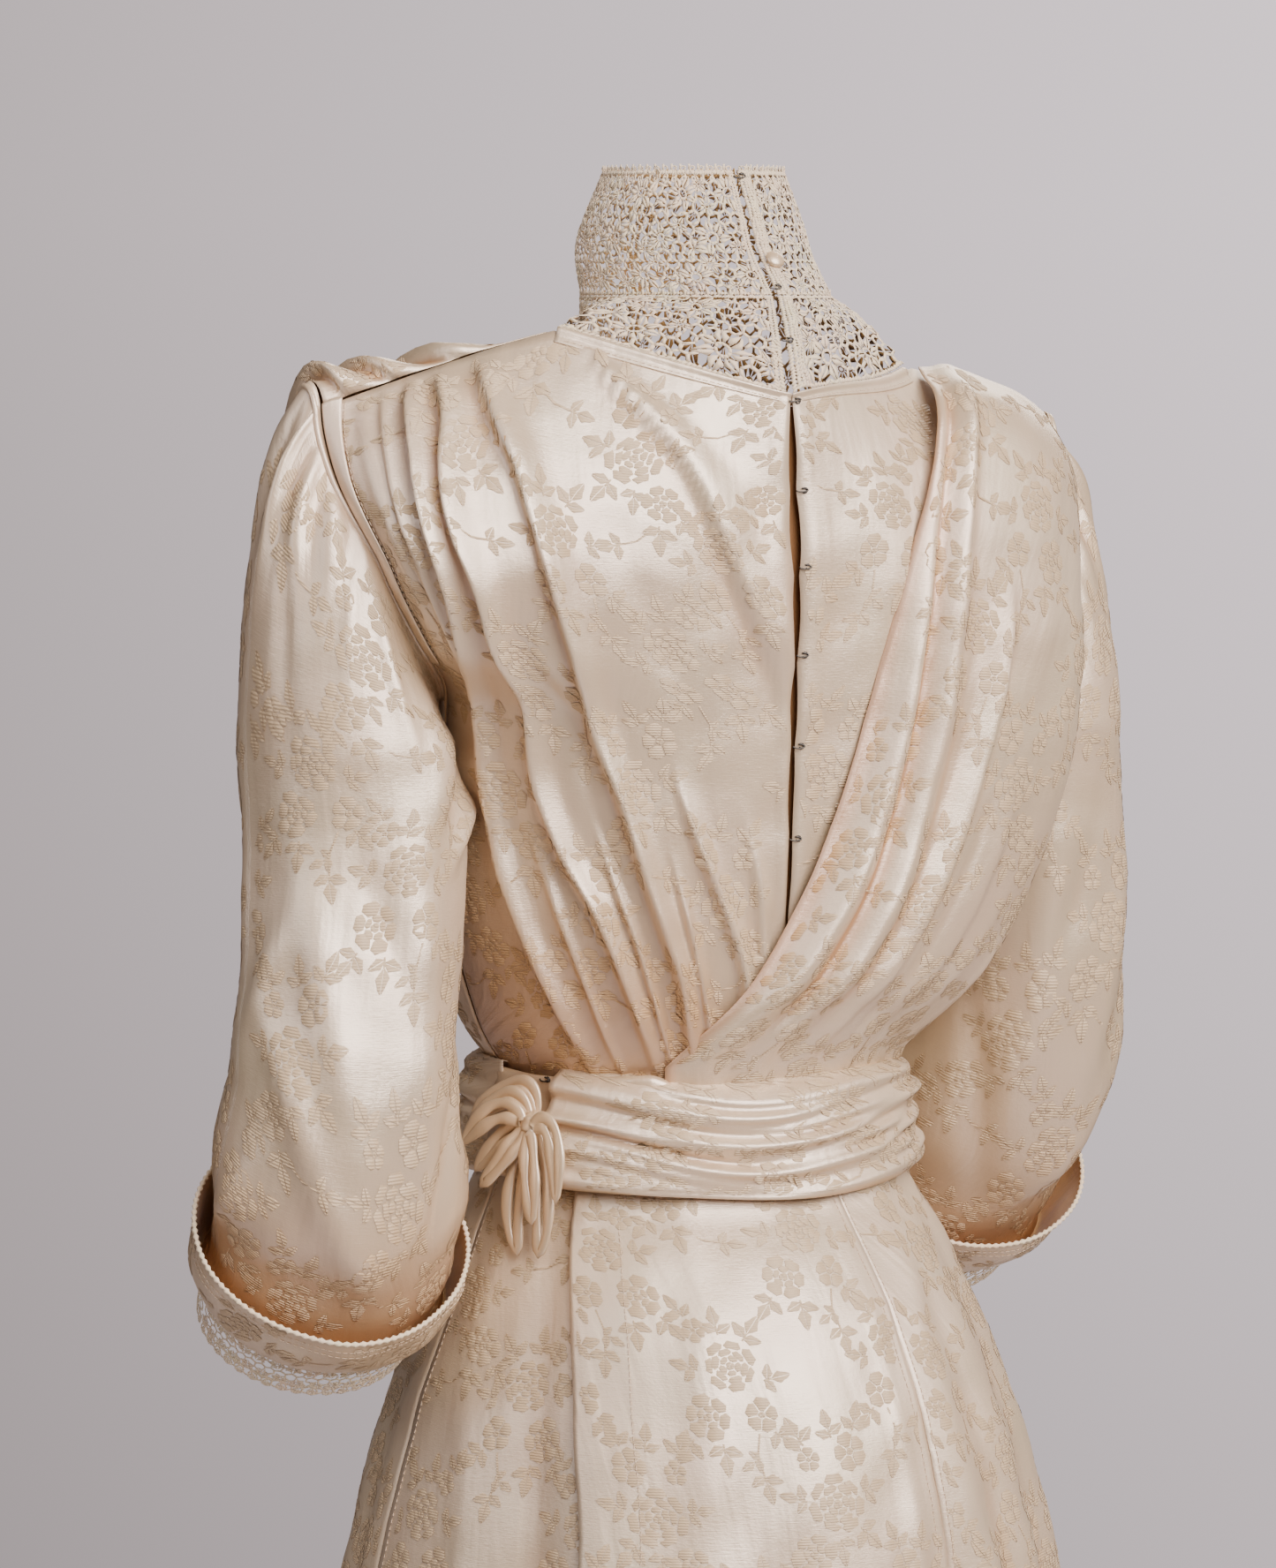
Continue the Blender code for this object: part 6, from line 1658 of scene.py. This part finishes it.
# The room: grey, with painted light that makes it paler to the picture's right and upward, and it lights the
# gown softly.
world = bpy.data.worlds.new("plain grey room")
world.use_nodes = True
tree = world.node_tree
look = addNode(tree, "ShaderNodeTexCoord").outputs["Generated"]
shares = []
for way, low, high in ((tuple(side), -0.16, 0.14), ((0.0, 0.0, 1.0), -0.24, 0.02)):
    along = addNode(tree, "ShaderNodeVectorMath", {"operation": "DOT_PRODUCT"}, {1: way}, {0: look})
    share = addNode(tree, "ShaderNodeMapRange", None, {"From Min": low, "From Max": high},
                    {"Value": along.outputs["Value"]})
    shares.append(share.outputs["Result"])
greys = []
for left, right in (("9D9394", "CFC3C6"), ("BBB0B1", "FFF0F6")):
    grey = addNode(tree, "ShaderNodeMix", {"data_type": "RGBA"}, {6: hexColour(left), 7: hexColour(right)},
                   {0: shares[0]})
    greys.append(grey.outputs[2])
backdrop = addNode(tree, "ShaderNodeMix", {"data_type": "RGBA"}, None,
                   {0: shares[1], 6: greys[0], 7: greys[1]})
seen = addNode(tree, "ShaderNodeLightPath")
amount = addNode(tree, "ShaderNodeMapRange", None, {"To Min": room["light"], "To Max": room["seen"]},
                 {"Value": seen.outputs["Is Camera Ray"]})
shader = tree.nodes["Background"]
tree.links.new(backdrop.outputs[2], shader.inputs["Color"])
tree.links.new(amount.outputs["Result"], shader.inputs["Strength"])
bpy.context.scene.world = world


def stand(name, data, place, aim):
    # Puts a lamp or camera at a place and turns it towards its aim.
    item = bpy.data.objects.new(name, data)
    bpy.context.scene.collection.objects.link(item)
    item.location = place
    item.rotation_mode = "QUATERNION"
    item.rotation_quaternion = Vector(np.array(place) - np.array(aim)).to_track_quat("Z", "Y")
    return item


def areaLight(name, place, aim, size, watts, code):
    # A soft box of light, so wide and tall, in watts.
    light = bpy.data.lights.new(name, "AREA")
    light.shape = "RECTANGLE"
    light.size, light.size_y = size
    light.energy = watts
    light.color = hexColour(code)[:3]
    stand(name, light, place, aim)


aim = np.array([0.0, 0.0, room["aim"]]) - side * room["left"]
place = back * room["away"] - side * room["left"]
camera = stand("camera", bpy.data.cameras.new("camera"), place, aim)
camera.data.sensor_width = room["sensor"]
camera.data.lens = room["focal"] / room["picture"] * room["sensor"]
camera.data.dof.use_dof = False
bpy.context.scene.camera = camera

up = np.array([0.0, 0.0, 1.0])
lamps = table(
    "name place aim size watts code",
    ("key", back * 2.1 + side * 1.45 + up * 1.45, (0.0, 0.0, -0.3), (2.8, 2.6), 262.0, "FFF8F9"),
    ("left", back * 1.5 - side * 2.3 + up * 1.1, (0.0, 0.0, -0.3), (1.2, 1.8), 24.0, "F8F5FF"),
    ("front", -back * 2.6 + side * 0.6 + up * 1.2, (0.0, 0.0, -0.4), (1.8, 1.8), 70.0, "FFF8F2"),
)
for lamp in lamps:
    areaLight(**lamp)
print("camera and light set")
